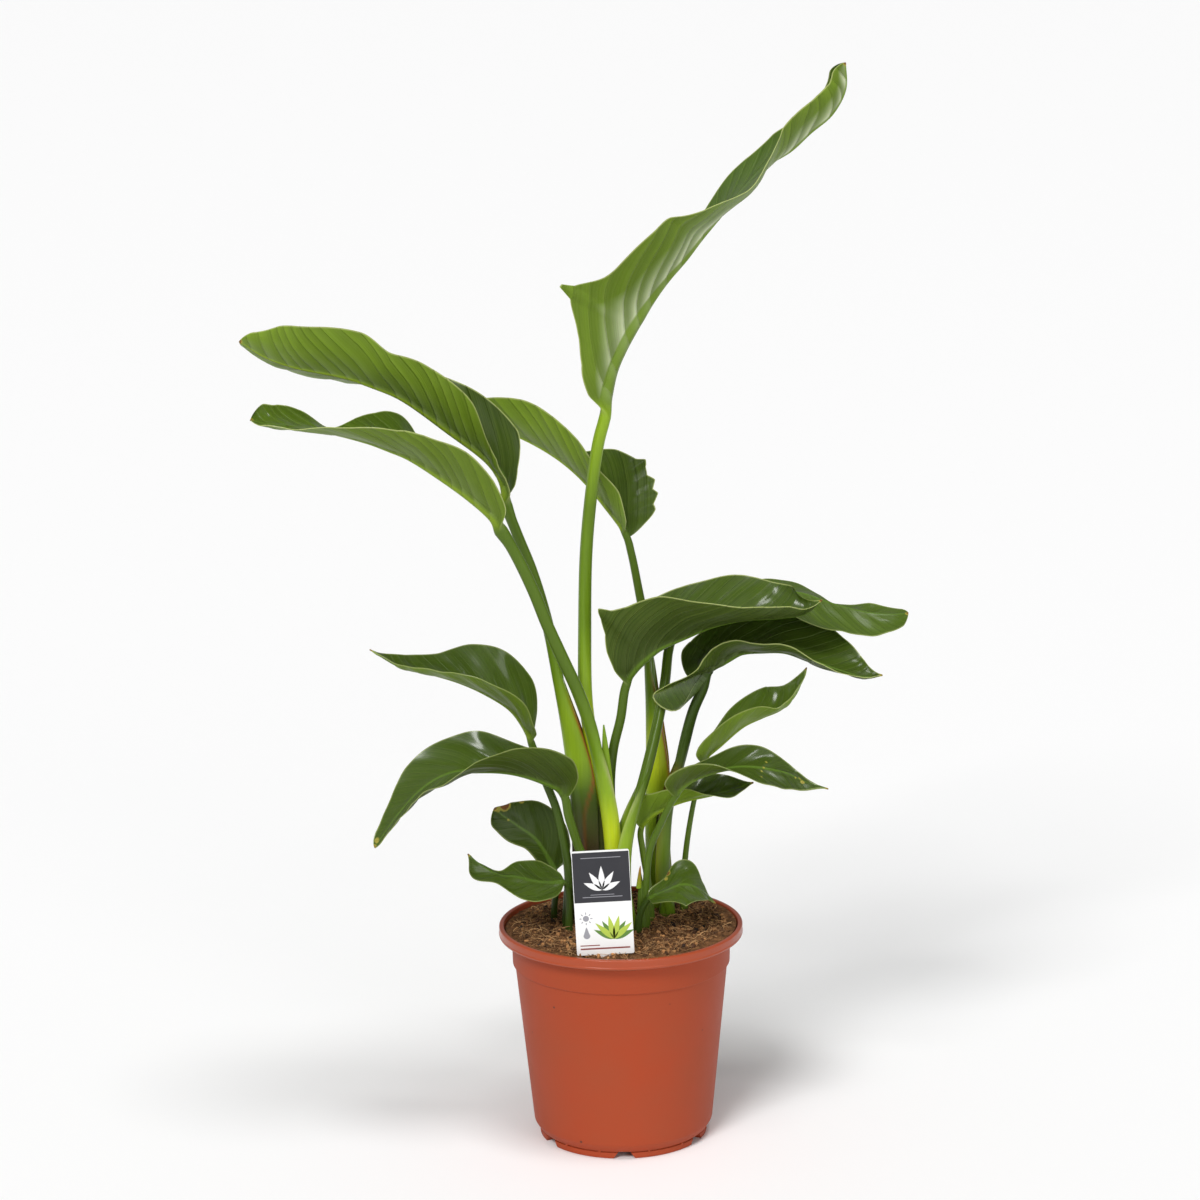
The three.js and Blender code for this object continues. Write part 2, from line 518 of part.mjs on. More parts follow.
/** A leaf: stalk and blade as one closed skin, cut into triangles alike on both faces. */
function leafSkin(leaf) {
  const { stalkRings, bladeRings, columns } = leaf.large ? GRADES.large : GRADES.small;
  const line = leafLine(leaf);
  const emerged = POT_HEIGHT + 4 - STEM_FOOT;
  const distances = [0];
  for (let i = 0; i < stalkRings; i += 1) {
    distances.push(emerged + (i / stalkRings) * (line.neck - emerged));
  }
  for (let i = 0; i <= bladeRings; i += 1) {
    distances.push(line.neck + (line.length - line.neck) * ringPlace(i / bladeRings));
  }
  const rings = distances.map((distance) => leafRing(leaf, line, distance, columns));
  const width = rings[0].length;
  const positions = rings.flatMap((ring) => ring.flatMap(({ top, bottom }) => [...top, ...bottom]));
  const topAt = (i, j) => 2 * (i * width + j);
  const bottomAt = (i, j) => topAt(i, j) + 1;
  const triangles = [];
  const quad = (a, b, c, d) => triangles.push(a, b, c, a, c, d);
  for (let i = 0; i < rings.length - 1; i += 1) {
    for (let j = 0; j < width - 1; j += 1) {
      quad(topAt(i, j), topAt(i, j + 1), topAt(i + 1, j + 1), topAt(i + 1, j));
      triangles.push(bottomAt(i, j), bottomAt(i + 1, j + 1), bottomAt(i, j + 1));
      triangles.push(bottomAt(i, j), bottomAt(i + 1, j), bottomAt(i + 1, j + 1));
    }
    quad(topAt(i, 0), topAt(i + 1, 0), bottomAt(i + 1, 0), bottomAt(i, 0));
    quad(topAt(i, width - 1), bottomAt(i, width - 1), bottomAt(i + 1, width - 1), topAt(i + 1, width - 1));
  }
  const last = rings.length - 1;
  for (let j = 0; j < width - 1; j += 1) {
    quad(topAt(0, j), bottomAt(0, j), bottomAt(0, j + 1), topAt(0, j + 1));
    quad(topAt(last, j), topAt(last, j + 1), bottomAt(last, j + 1), bottomAt(last, j));
  }
  if (leaf.lean > 0) {
    triangles.reverse();
  }
  const geometry = new THREE.BufferGeometry();
  geometry.setAttribute('position', new THREE.Float32BufferAttribute(positions, 3));
  geometry.setIndex(triangles);
  return geometry;
}

const plant = new THREE.Group();
plant.add(pot(), soil(), tag());
for (const leaf of LEAVES) {
  plant.add(mesh(leaf.name, leafSkin(leaf), leaf.name === 'leaf_01' ? FRESH_GREEN : LEAF_GREEN));
}

// The origin goes to the floor, under the middle of the whole plant.
const middle = new THREE.Box3().setFromObject(plant, true).getCenter(new THREE.Vector3());
for (const part of plant.children) {
  part.position.x -= middle.x;
  part.position.y -= middle.y;
}

export default plant;
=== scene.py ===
"""A young giant white bird of paradise in a round plastic nursery pot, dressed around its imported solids.

Lengths are millimetres from the pot's axis and the floor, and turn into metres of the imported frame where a
mesh is made. The front, with the care tag, looks to -Y. Every piece rides on the one body of the part.
"""

import math

import bmesh
import bpy
import numpy as np
from mathutils import Matrix, Vector, noise


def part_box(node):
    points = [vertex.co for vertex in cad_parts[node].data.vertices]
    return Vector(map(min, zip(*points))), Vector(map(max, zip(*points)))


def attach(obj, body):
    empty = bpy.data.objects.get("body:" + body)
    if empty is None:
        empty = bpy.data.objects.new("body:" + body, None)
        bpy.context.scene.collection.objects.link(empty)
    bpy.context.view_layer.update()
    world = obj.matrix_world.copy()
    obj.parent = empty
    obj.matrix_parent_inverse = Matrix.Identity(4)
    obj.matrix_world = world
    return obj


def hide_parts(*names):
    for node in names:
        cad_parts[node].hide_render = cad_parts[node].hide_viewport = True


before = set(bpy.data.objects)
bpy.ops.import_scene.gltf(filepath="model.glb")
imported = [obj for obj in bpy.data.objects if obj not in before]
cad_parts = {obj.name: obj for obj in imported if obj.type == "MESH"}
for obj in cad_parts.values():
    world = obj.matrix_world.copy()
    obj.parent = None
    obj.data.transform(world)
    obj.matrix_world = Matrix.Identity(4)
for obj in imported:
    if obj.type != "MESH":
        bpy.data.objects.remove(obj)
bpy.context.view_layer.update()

MM = 0.001
BODY = "root"
pot_low, pot_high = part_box("pot")
POT_AXIS = Vector(((pot_low.x + pot_high.x) / 2, (pot_low.y + pot_high.y) / 2, 0))

# Pot: the same sizes as its solid. A corner of the outline is a radius, a height and how far it is rounded.
RIM_RADIUS = 95
POT_HEIGHT = 170
RIM_UNDER = POT_HEIGHT - 8
COLLAR_RADIUS = 85.2
STEP_HEIGHT = 139.6
BODY_RADIUS_TOP = 82.8
BODY_RADIUS_LOW = 70
CHAMFER_TOP = 12
CHAMFER_LOW = 6
FOOT_RADIUS = 65.5
FOOT_WALL = 6
WALL = 2.2
FLOOR_TOP = 8.5
POT_SIDES = 264
NOTCHES = 6
NOTCH_WIDTH_TOP = 9
NOTCH_WIDTH_LOW = 19
DRAIN_RADIUS = 5
DRAIN_CIRCLE = 44
DRAIN_SIDES = 32
PEG_RADIUS = 1.2
PEG_CIRCLE = FOOT_RADIUS - 0.1
PEG_HEIGHT = CHAMFER_LOW - 0.8
PEG_ANGLES = (17, 43)
POT_CORNERS = [
    (0, FLOOR_TOP, 0),
    (BODY_RADIUS_LOW - WALL - 2, FLOOR_TOP, 2.5),
    (BODY_RADIUS_LOW - WALL, CHAMFER_TOP + 1, 2),
    (BODY_RADIUS_TOP - WALL, STEP_HEIGHT - 2, 1),
    (COLLAR_RADIUS - WALL, STEP_HEIGHT + 2, 1),
    (COLLAR_RADIUS - WALL, RIM_UNDER + 0.6, 1.2),
    (RIM_RADIUS - 4.6, RIM_UNDER + 2.4, 1.4),
    (RIM_RADIUS - 3.8, POT_HEIGHT, 1),
    (RIM_RADIUS - 0.1, POT_HEIGHT, 1.6),
    (RIM_RADIUS - 0.3, RIM_UNDER + 2.2, 0.5),
    (RIM_RADIUS + 0.1, RIM_UNDER + 1.6, 0.5),
    (RIM_RADIUS - 0.3, RIM_UNDER, 0.7),
    (COLLAR_RADIUS, RIM_UNDER, 0.7),
    (COLLAR_RADIUS - 0.6, STEP_HEIGHT, 0.5),
    (BODY_RADIUS_TOP, STEP_HEIGHT - 0.9, 0.3),
    (BODY_RADIUS_LOW, CHAMFER_TOP, 1.2),
    (FOOT_RADIUS + 0.8, CHAMFER_LOW, 0.3),
    (FOOT_RADIUS - 1, CHAMFER_LOW - 0.1, 0.2),
    (FOOT_RADIUS - 1, CHAMFER_LOW - 1.3, 0.2),
    (FOOT_RADIUS, CHAMFER_LOW - 1.5, 0.2),
    (FOOT_RADIUS, 0, 0.9),
    (FOOT_RADIUS - FOOT_WALL, 0, 0.9),
    (FOOT_RADIUS - FOOT_WALL - 0.5, CHAMFER_LOW, 1),
    (0, CHAMFER_LOW, 0),
]

# Soil: the surface of its solid, with finer lumps, each layer with its size, height and place in the noise.
SOIL_EDGE = 166.4
SOIL_CROWN = 3
SOIL_RIGHT_RISE = 2
SOIL_BACK_DIP = 0.6
SOIL_RADIUS = 90
SOIL_RINGS = 120
SOIL_SPOKES = 300
SOIL_SKIRT = 152
SOIL_LUMPS = ((9, 1.2, 3), (4.2, 1.5, 5), (1.9, 0.9, 8))
STEM_FOOT = 142

# Loose coir, in metres: four bent fibres and four lumpy crumbs to choose from, and between which limits each
# is stretched. A fibre's bends are shares of its length, sideways and upwards. A row of what is strewn is its
# name, its kind of coir, whether it lies on the rim, and the values of the scatter's inputs.
STREWN_RADIUS = 82
SHAPES = 4
STRETCH = ((0.6, 0.6, 0.4), (1.5, 1.1, 1.0))
FIBRE_LENGTH = 0.011
FIBRE_RADIUS = 0.0003
FIBRE_STEPS = 6
FIBRE_BENDS = [(0.35, 0.15), (-0.45, 0.3), (0.1, 0.5), (0.75, 0.05)]
CRUMB_RADIUS = 0.001
SCATTER_INPUTS = {
    "Density": "Float", "Seed": "Int", "Smallest": "Float", "Largest": "Float", "Tilt": "Float",
    "Lift": "Float",
}
STREWN = [
    ("coir_fibres", "coir_fibre", False, 130000.0, 11, 0.25, 1.1, 0.5, 0.0012),
    ("coir_crumbs", "coir_crumb", False, 58000.0, 23, 0.6, 1.9, 3.0, 0.001),
    ("bark_crumbs", "bark_crumb", False, 3000.0, 37, 1.2, 2.6, 3.0, 0.0012),
    ("rim_crumbs", "coir_crumb", True, 120000.0, 5, 0.25, 0.6, 3.0, 0.0),
]

# Care tag: a stiff card with a narrow foot in the soil.
TAG_WIDTH = 43.5
TAG_HEIGHT = 82
TAG_THICKNESS = 1
TAG_CORNER = 1.5
TAG_FOOT_WIDTH = 15
TAG_FOOT_DEPTH = 20
TAG_PLACE = (-12, -76, 169)
TAG_LEAN = math.radians(-2.3)

# Skin of a leaf, in millimetres: the thickness of a blade and of a sheath, the least height of a stalk above
# and below its middle, half the pace over which its direction is taken, and the heights over the soil where a
# round foot gets its channel, where a sheath begins to clasp and where its own depth takes over.
BLADE_THICKNESS = 0.8
SHEATH_WALL = 0.9
LEAST_ABOVE = 0.15
LEAST_BELOW = 0.5
STALK_STEP = 2
ROUND_FOOT = (8, 44)
CLASP_START = (4, 34)
OWN_DEPTH = (90, 160)

# As shares of the stalk's radius: the keel below a midrib and below a sheath, the groove above a midrib, the
# stalk's height above and below its middle, the height of a round foot and of a channel, the length of a
# knob, and the least reach of a blade.
KEEL = 0.8
SHEATH_KEEL = 0.5
RIB_GROOVE = 0.22
STALK_TOP = 0.65
STALK_BELOW = 1.2
FOOT_TOP = 1.05
CHANNEL = 0.3
NECK_KNOB_LENGTH = 1.7
LEAST_REACH = 1.01

# As shares of the blade's length: shoulder, taper, ears and the softness of a lobe's knots. Of the width of a
# half: the widest midrib. Of the midrib's width: keel and groove. Of the blade's thickness: how much thinner
# a margin is. The channel's width is an angle round the stalk. Cup bends a half upwards.
SHOULDER = 0.1
TAPER = 0.12
EAR_SHARE = 0.3
LOBE_SOFTNESS = 0.005
WIDEST_RIB = 0.93
KEEL_WIDTH = 1.15
GROOVE_WIDTH = 0.55
MARGIN_THINNING = 0.35
CHANNEL_ANGLE = 0.3
CUP = 0.16

# Steps: the midrib's share of those across a half, and those from one point of a centre line to the next.
RIB_STEPS = 0.2
CURVE_STEPS = 60

# Leaves: the table of the solids, with some feet, sheaths, lobes and tips set finer. The stalk runs from its
# foot in the soil through the stalk points to the first blade row. A blade row is a point of the midrib, then
# how far the front margin rises above it and spreads out from it, and the same for the back margin. Lean is
# -1 for a leaf that leans left and 1 for one that leans right. Up is the side that the upper face looks to,
# girth the stalk's radius at the foot and at the blade, and rib a factor on the midrib's painted width. A
# sheath is how high the clasping foot reaches, how deep it is and its half width, and sheath_foot its depth
# at the soil. A knob swells the neck. Ears are how far the blade's base is swept back at the front and at the
# back. The blade opens over the shoulder and closes over the taper, as shares of it. Nibbles are small
# notches or points of a margin: its side, place, half width and depth, as shares. A near lobe is a basal lobe
# that folds back: share of the way, rise, spread and sweep. Large leaves are cut finer and have wide pleats,
# or pleats as wide as their own pleat says.
YOUNG_LEAF = "leaf_01"
LEFTWARDS = {"lean": -1, "up": (0.5, 0, 1)}
RIGHTWARDS = {"lean": 1, "up": (-0.5, 0, 1)}
LEAVES = [
    {
        "name": "leaf_01", "lean": 1, "up": (-0.8, -0.1, 0.6), "girth": (6.5, 5), "taper": 0.022,
        "large": True, "rib": 1.7, "pleat": 19,
        "foot": (-16, 13),
        "stalk": [(-15, 12, 206), (-17, 12, 247), (-21, 12, 300), (-26, 14, 344), (-26, 18, 400),
                  (-24, 18, 460), (-19, 17, 509), (-13, 16, 547)],
        "blade": [(-8, 16, 565, 13, 8, 10, 10), (0, 16, 600, 26, 12, 18, 20), (7, 16, 616, 39, 14, 26, 32),
                  (16, 16, 632, 57, 16, 30, 40), (21, 16, 640, 58, 20, 28, 43),
                  (29, 16, 653, 44, 27, 24, 46), (40, 16, 668, 41, 38, 20, 50),
                  (56, 17, 686, 40, 49, 16, 54), (67, 18, 700, 36, 54, 4, 54), (79, 18, 714, 22, 58, 0, 56),
                  (97, 20, 734, 8, 55, 5, 50), (116, 22, 753, 10, 47, 5, 42),
                  (135, 24, 764, 21, 34, 11, 34), (150, 26, 777, 22, 26, 10, 26),
                  (166, 27, 790, 21, 19, 12, 20), (176, 28, 808, 16, 13, 12, 13),
                  (176, 28, 828, 11, 9, 9, 9)],
        "nibbles": [(0, 0.224, 0.012, -0.2)],
    },
    {
        "name": "leaf_02", **LEFTWARDS, "girth": (6.5, 4.4), "sheath": (222, 17, 7.5), "taper": 0.02,
        "knob": 0.25, "large": True,
        "foot": (-32, 12),
        "stalk": [(-33, 12, 220), (-34, 12, 266), (-37, 12, 298), (-40, 12, 330), (-44, 12, 362),
                  (-49, 12, 394), (-55, 12, 421), (-63, 11, 449), (-73, 10, 476)],
        "blade": [(-81, 8, 500, 3, 12, 10, 10), (-85, 6, 520, 2, 10, 14, 10), (-94, 5, 534, 6, 16, 30, 16),
                  (-125, 3, 559, 31, 22, 35, 14), (-160, 0, 585, 34, 24, 20, 32),
                  (-180, -1, 594, 32, 22, 4, 38), (-199, -2, 601, 39, 20, -8, 40),
                  (-241, -5, 611, 35, 18, -9, 30), (-261, -7, 619, 28, 12, -5, 13),
                  (-279, -8, 631, 9, 6, -3, 5)],
    },
    {
        "name": "leaf_03", "lean": -1, "up": (0.5, 0.3, 1), "girth": (6, 4.6), "sheath": (170, 7, 6.4),
        "taper": 0.03, "knob": 0.25, "large": True,
        "foot": (-7, -8),
        "stalk": [(-7, -8, 200), (-7.5, -8, 230), (-10.3, -8, 262), (-13.5, -9, 294), (-19, -10, 326),
                  (-29, -12, 358), (-42, -14, 389), (-52, -16, 413), (-62, -18, 440), (-75, -20, 469)],
        "blade": [(-85, -22, 487, 3, 10, 8, 14), (-93, -23, 498, 10, 18, 12, 24),
                  (-108, -25, 512, 17, 28, 15, 30), (-130, -28, 529, 23, 34, 19, 34),
                  (-154, -30, 545, 16, 38, 22, 38), (-168, -30, 551, 11, 40, 31, 36),
                  (-183, -31, 557, 7, 42, 25, 34), (-211, -33, 565, 1, 38, 6, 22),
                  (-236, -34, 570, -4, 30, 14, 28), (-253, -36, 572, -3, 22, 16, 22),
                  (-262, -36, 573, -2, 16, 15, 16), (-270, -37, 576, -2, 12, 11, 12)],
    },
    {
        "name": "leaf_04", "lean": -1, "up": (0.4, 0, 1), "girth": (6, 3.2), "sheath": (230, 13, 7),
        "sheath_foot": 16, "ears": (0, 13), "large": True,
        "foot": (27, 37),
        "stalk": [(24, 37, 220), (25, 38, 293), (26, 41, 347), (25, 46, 385), (19, 48, 423), (13, 47, 455)],
        "blade": [(9, 46, 469, 6, 12, 22, 18), (-7, 50, 491, 18, 18, 40, 22),
                  (-23, 54, 510, 20, 26, 29, 30), (-39, 58, 524, 26, 28, 6, 34),
                  (-58, 62, 536, 30, 26, 12, 34), (-80, 66, 546, 30, 24, 16, 32),
                  (-108, 70, 554, 20, 16, 12, 20), (-136, 72, 557, 2, 4, 2, 4)],
        "nibbles": [(1, 0.035, 0.02, 0.1), (1, 0.075, 0.018, 0.12), (1, 0.115, 0.02, 0.1),
                    (1, 0.165, 0.03, 0.09), (1, 0.21, 0.02, -0.1)],
    },
    {
        "name": "leaf_05", **RIGHTWARDS, "girth": (5, 3.8), "ears": (2, 0), "large": True,
        "foot": (3, 10),
        "stalk": [(-4, 9, 220), (-8, 10, 274), (-5, 9, 307), (1, 7, 332)],
        "blade": [(6, 4, 360, 8, 8, 6, 14), (13, 2, 371, 22, 12, 16, 24), (22, 0, 380, 50, 14, 22, 34),
                  (32, 0, 388, 45, 20, 27, 40), (52, 0, 397, 42, 34, 29, 42), (72, 0, 405, 30, 45, 27, 42),
                  (96, 0, 410, 18, 42, 28, 38), (125, 1, 411, 14, 28, 22, 26), (145, 2, 414, 8, 14, 18, 12),
                  (157, 3, 424, 1, 2, 1, 2)],
        "nibbles": [(0, 0.125, 0.035, 0.12), (0, 0.172, 0.02, -0.12)],
    },
    {
        "name": "leaf_06", **RIGHTWARDS, "girth": (5.8, 3.6), "sheath": (130, 9, 7.4), "taper": 0.03,
        "foot": (6, -13),
        "stalk": [(5, -13, 200), (5.5, -13, 228), (10.5, -9, 260), (20, -2, 291), (27, 8, 315),
                  (33, 20, 338), (37, 31, 358), (40, 42, 378), (45, 51, 390)],
        "blade": [(52, 58, 398, 4, 20, 2, 20), (80, 60, 410, 0, 36, 2, 34), (112, 60, 419, -8, 38, 2, 36),
                  (142, 60, 418, -12, 36, 0, 32), (172, 58, 408, -12, 32, -6, 22),
                  (200, 56, 401, -12, 22, 2, 16), (216, 55, 400, -9, 15, 2, 11),
                  (228, 54, 401, -6, 9, 2, 7)],
    },
    {
        "name": "leaf_07", **RIGHTWARDS, "girth": (6, 4.4), "sheath": (150, 8, 6), "ears": (0, 24),
        "shoulder": 0.04, "taper": 0.07, "large": True,
        "foot": (36, 17),
        "stalk": [(36, 17, 222), (39.5, 19, 262), (46, 21, 290), (57, 21, 333), (65, 20, 352)],
        "blade": [(69, 19, 366, -6, 20, 10, 20), (75, 19, 370, -16, 26, 16, 26),
                  (80, 19, 372, -22, 26, 18, 30), (86, 20, 375, -3, 24, 21, 32),
                  (96, 20, 380, 14, 27, 20, 36), (112, 20, 381, 11, 30, 21, 38),
                  (130, 20, 380, 9, 28, 23, 38), (150, 20, 372, 5, 26, 26, 34),
                  (174, 20, 363, 4, 18, 19, 24), (192, 20, 358, 3, 10, 10, 12), (205, 20, 360, 0, 3, 0, 3)],
        "near_lobe": [(0, 0, 5, 0), (0.006, -1, 6, 4), (0.014, -4, 10, 10), (0.022, -9, 12, 17),
                      (0.031, -17, 13, 28), (0.04, -19, 14, 38), (0.049, -12, 13, 49), (0.057, -5, 11, 54),
                      (0.064, -1, 10, 55), (0.073, -1, 9, 49), (0.085, 3, 9, 41), (0.1, 5, 10, 30),
                      (0.115, 7, 11, 23), (0.135, 12, 14, 18), (0.16, 17, 19, 10), (0.19, 18, 24, 5),
                      (0.22, 17, 27, 3), (0.26, 13, 28, 0), (0.32, 10, 28, 0)],
    },
    {
        "name": "leaf_08", **RIGHTWARDS, "girth": (3, 1.9), "ears": (10, 4),
        "foot": (50, 28),
        "stalk": [(49, 26, 191), (51, 22, 218), (54, 19, 241), (58, 17, 263), (63, 15, 283)],
        "blade": [(67, 15, 296, 8, 10, 8, 8), (79, 15, 307, 14, 14, 8, 14), (97, 15, 322, 15, 18, 14, 18),
                  (112, 15, 329, 13, 18, 17, 20), (126, 15, 335, 6, 16, 17, 16),
                  (137, 15, 346, 3, 9, 10, 10), (146, 15, 368, 0, 2, 0, 2)],
    },
    {
        "name": "leaf_09", **RIGHTWARDS, "girth": (3.4, 2.8), "ears": (6, 4),
        "foot": (19, -17),
        "stalk": [(19, -17, 200), (22, -17, 232), (31, -19, 255)],
        "blade": [(43, -24, 279, 14, 10, 8, 10), (55, -25, 290, 15, 14, 6, 16),
                  (73, -25, 297, 10, 16, 7, 18), (90, -25, 300, 1, 20, 12, 18),
                  (102, -25, 300, -4, 20, 13, 18), (115, -25, 298, -7, 20, 11, 14),
                  (128, -25, 295, -8, 17, 4, 12), (142, -25, 288, -4, 8, 0, 6),
                  (160, -25, 282, 0, 1, 0, 1)],
    },
    {
        "name": "leaf_10", **RIGHTWARDS, "girth": (3.2, 2.6),
        "foot": (23, 4),
        "stalk": [(21, 5, 200), (17, 6, 226)],
        "blade": [(16, 6, 243, 5, 5, 6, 5), (24, 5, 253, 20, 8, 8, 6), (36, 3, 261, 17, 12, 8, 8),
                  (50, 0, 267, 15, 13, 10, 11), (68, -1, 271, 7, 14, 14, 12), (86, -1, 275, -2, 10, 10, 11),
                  (104, 0, 281, 0, 1, 0, 1)],
    },
    {
        "name": "leaf_11", **LEFTWARDS, "girth": (4, 3.2),
        "foot": (-41, -4),
        "stalk": [(-39, -4, 210), (-42, -2, 235), (-48, 3, 262), (-56, 6, 283), (-62, 7, 300)],
        "blade": [(-66, 7, 313, 6, 6, 4, 8), (-72, 6, 327, 7, 14, 13, 20), (-82, 5, 341, 13, 22, 24, 26),
                  (-101, 4, 354, 17, 30, 31, 24), (-120, 4, 363, 15, 30, 26, 24),
                  (-141, 3, 370, 9, 24, 12, 18), (-165, 2, 376, 4, 13, 8, 10), (-189, 0, 391, 0, 1, 0, 1)],
    },
    {
        "name": "leaf_12", **LEFTWARDS, "girth": (4.4, 3.6), "ears": (12, 6), "taper": 0.05,
        "foot": (-23, -14),
        "stalk": [(-26, -14, 220), (-32, -15, 240), (-38, -19, 262)],
        "blade": [(-42, -22, 281, 12, 10, 6, 12), (-57, -25, 291, 30, 20, 15, 24),
                  (-81, -26, 299, 28, 28, 15, 26), (-107, -27, 301, 17, 33, 25, 24),
                  (-129, -27, 299, 2, 34, 21, 26), (-148, -27, 289, 0, 26, 19, 20),
                  (-167, -27, 270, -1, 15, 11, 12), (-188, -27, 241, 0, 5, 4, 5)],
    },
    {
        "name": "leaf_13", "lean": -1, "up": (0.1, -1, 0.25), "girth": (2.8, 2.2),
        "foot": (-52, 17),
        "stalk": [(-50, 17, 196)],
        "blade": [(-51, 16, 207, 0, 8, 0, 12), (-56, 16, 218, 2, 8, 3, 20), (-66, 16, 234, 3, 11, 4, 26),
                  (-80, 16, 245, 2, 14, 3, 24), (-92, 16, 254, 1, 12, 1, 12), (-97, 16, 259, 0, 8, 0, 6)],
    },
    {
        "name": "leaf_14", **LEFTWARDS, "girth": (2.8, 2.2),
        "foot": (-40, -18),
        "stalk": [(-40, -18, 200)],
        "blade": [(-42, -19, 208, 0, 8, 3, 8), (-52, -20, 209, -5, 18, 7, 14),
                  (-64, -20, 210, -8, 23, 11, 18), (-80, -20, 214, -8, 20, 8, 15),
                  (-93, -20, 216, -5, 10, 1, 6), (-107, -20, 224, -11, 8, 0, 3),
                  (-117, -20, 233, -2, 2, 0, 1)],
    },
    {
        "name": "leaf_15", **RIGHTWARDS, "girth": (2.8, 2.2),
        "foot": (13, -26),
        "stalk": [(15, -26, 185)],
        "blade": [(21, -26, 196, -2, 8, 2, 8), (36, -27, 204, -2, 20, 4, 16),
                  (50, -27, 208, -8, 26, 14, 20), (62, -27, 203, -3, 18, 3, 13),
                  (73, -27, 192, 0, 1, 0, 1)],
    },
]

# Side veins: their slant and bend away from the midrib, the width of a pleat, the share of it that rises, how
# steeply and how high, the fine lines in it, and the broad folds that take several pleats together. Pleats
# and folds rise and partly fade over these shares of the way out, and are calmed where a base is swept back
# by these millimetres.
VEIN_SLANT = 1.05
VEIN_BEND = 0.004
PLEAT = 12.5
SMALL_PLEAT = 8
PLEAT_TURN = 0.93
PLEAT_POWER = 1.6
PLEAT_HEIGHT = 0.45
SMALL_PLEATING = 0.35
FINE_LINES = 11.0
FOLD_PLEATS = 3.3
FOLD_HEIGHT = 0.7
RELIEF_RISE = (0.03, 0.3)
RELIEF_FADE = (0.6, 1)
FADED_RELIEF = 0.6
SWEPT_CALM = (2, 12)
CALMED_RELIEF = 0.85

# Waves of a margin and unevenness of the pleats: a wave's length over two pi, its height and its turn by a
# leaf's number.
MARGIN_WAVES = ((21, 1, 1), (11.5, 0.6, 1.7), (6.1, 0.35, 1))
VEIN_WAVES = ((17, 2.4, 1), (7.3, 1.5, 2.1))

# How finely a leaf is cut: rings along the stalk and the blade, and steps across each half.
FINE = {"stalk_rings": 70, "blade_rings": 210, "steps": 26}
SMALL = {"stalk_rings": 40, "blade_rings": 110, "steps": 18}

# Colours of stalks. All colours here are linear red, green and blue.
STEM_YELLOW = (0.55, 0.66, 0.02)
STEM_LIME = (0.26, 0.40, 0.02)
STEM_FRESH = (0.155, 0.265, 0.014)
STEM_MID = (0.12, 0.205, 0.010)
STEM_GREEN = (0.085, 0.145, 0.012)
STEM_DARK = (0.042, 0.075, 0.010)
STEM_OLIVE = (0.07, 0.085, 0.02)
STEM_PURPLE = (0.055, 0.038, 0.014)
STEM_RUSSET = (0.24, 0.13, 0.02)
STEM_STREAK = (0.02, 0.05, 0.005)
SHEATH_RED = (0.33, 0.085, 0.02)
SHEATH_PALE = (0.48, 0.50, 0.22)
PLAIN_STEM = [(0, STEM_DARK), (200, STEM_GREEN)]
GREEN_STEM = [(0, STEM_GREEN), (200, STEM_GREEN)]

# The coloured edge of a sheath: how wide it is, how much of it fades away at the foot, and the heights above
# the soil between which it gets its full colour.
EDGE_WIDTH = 1.3
EDGE_FADE = 0.7
EDGE_FADE_HEIGHTS = (85, 125)

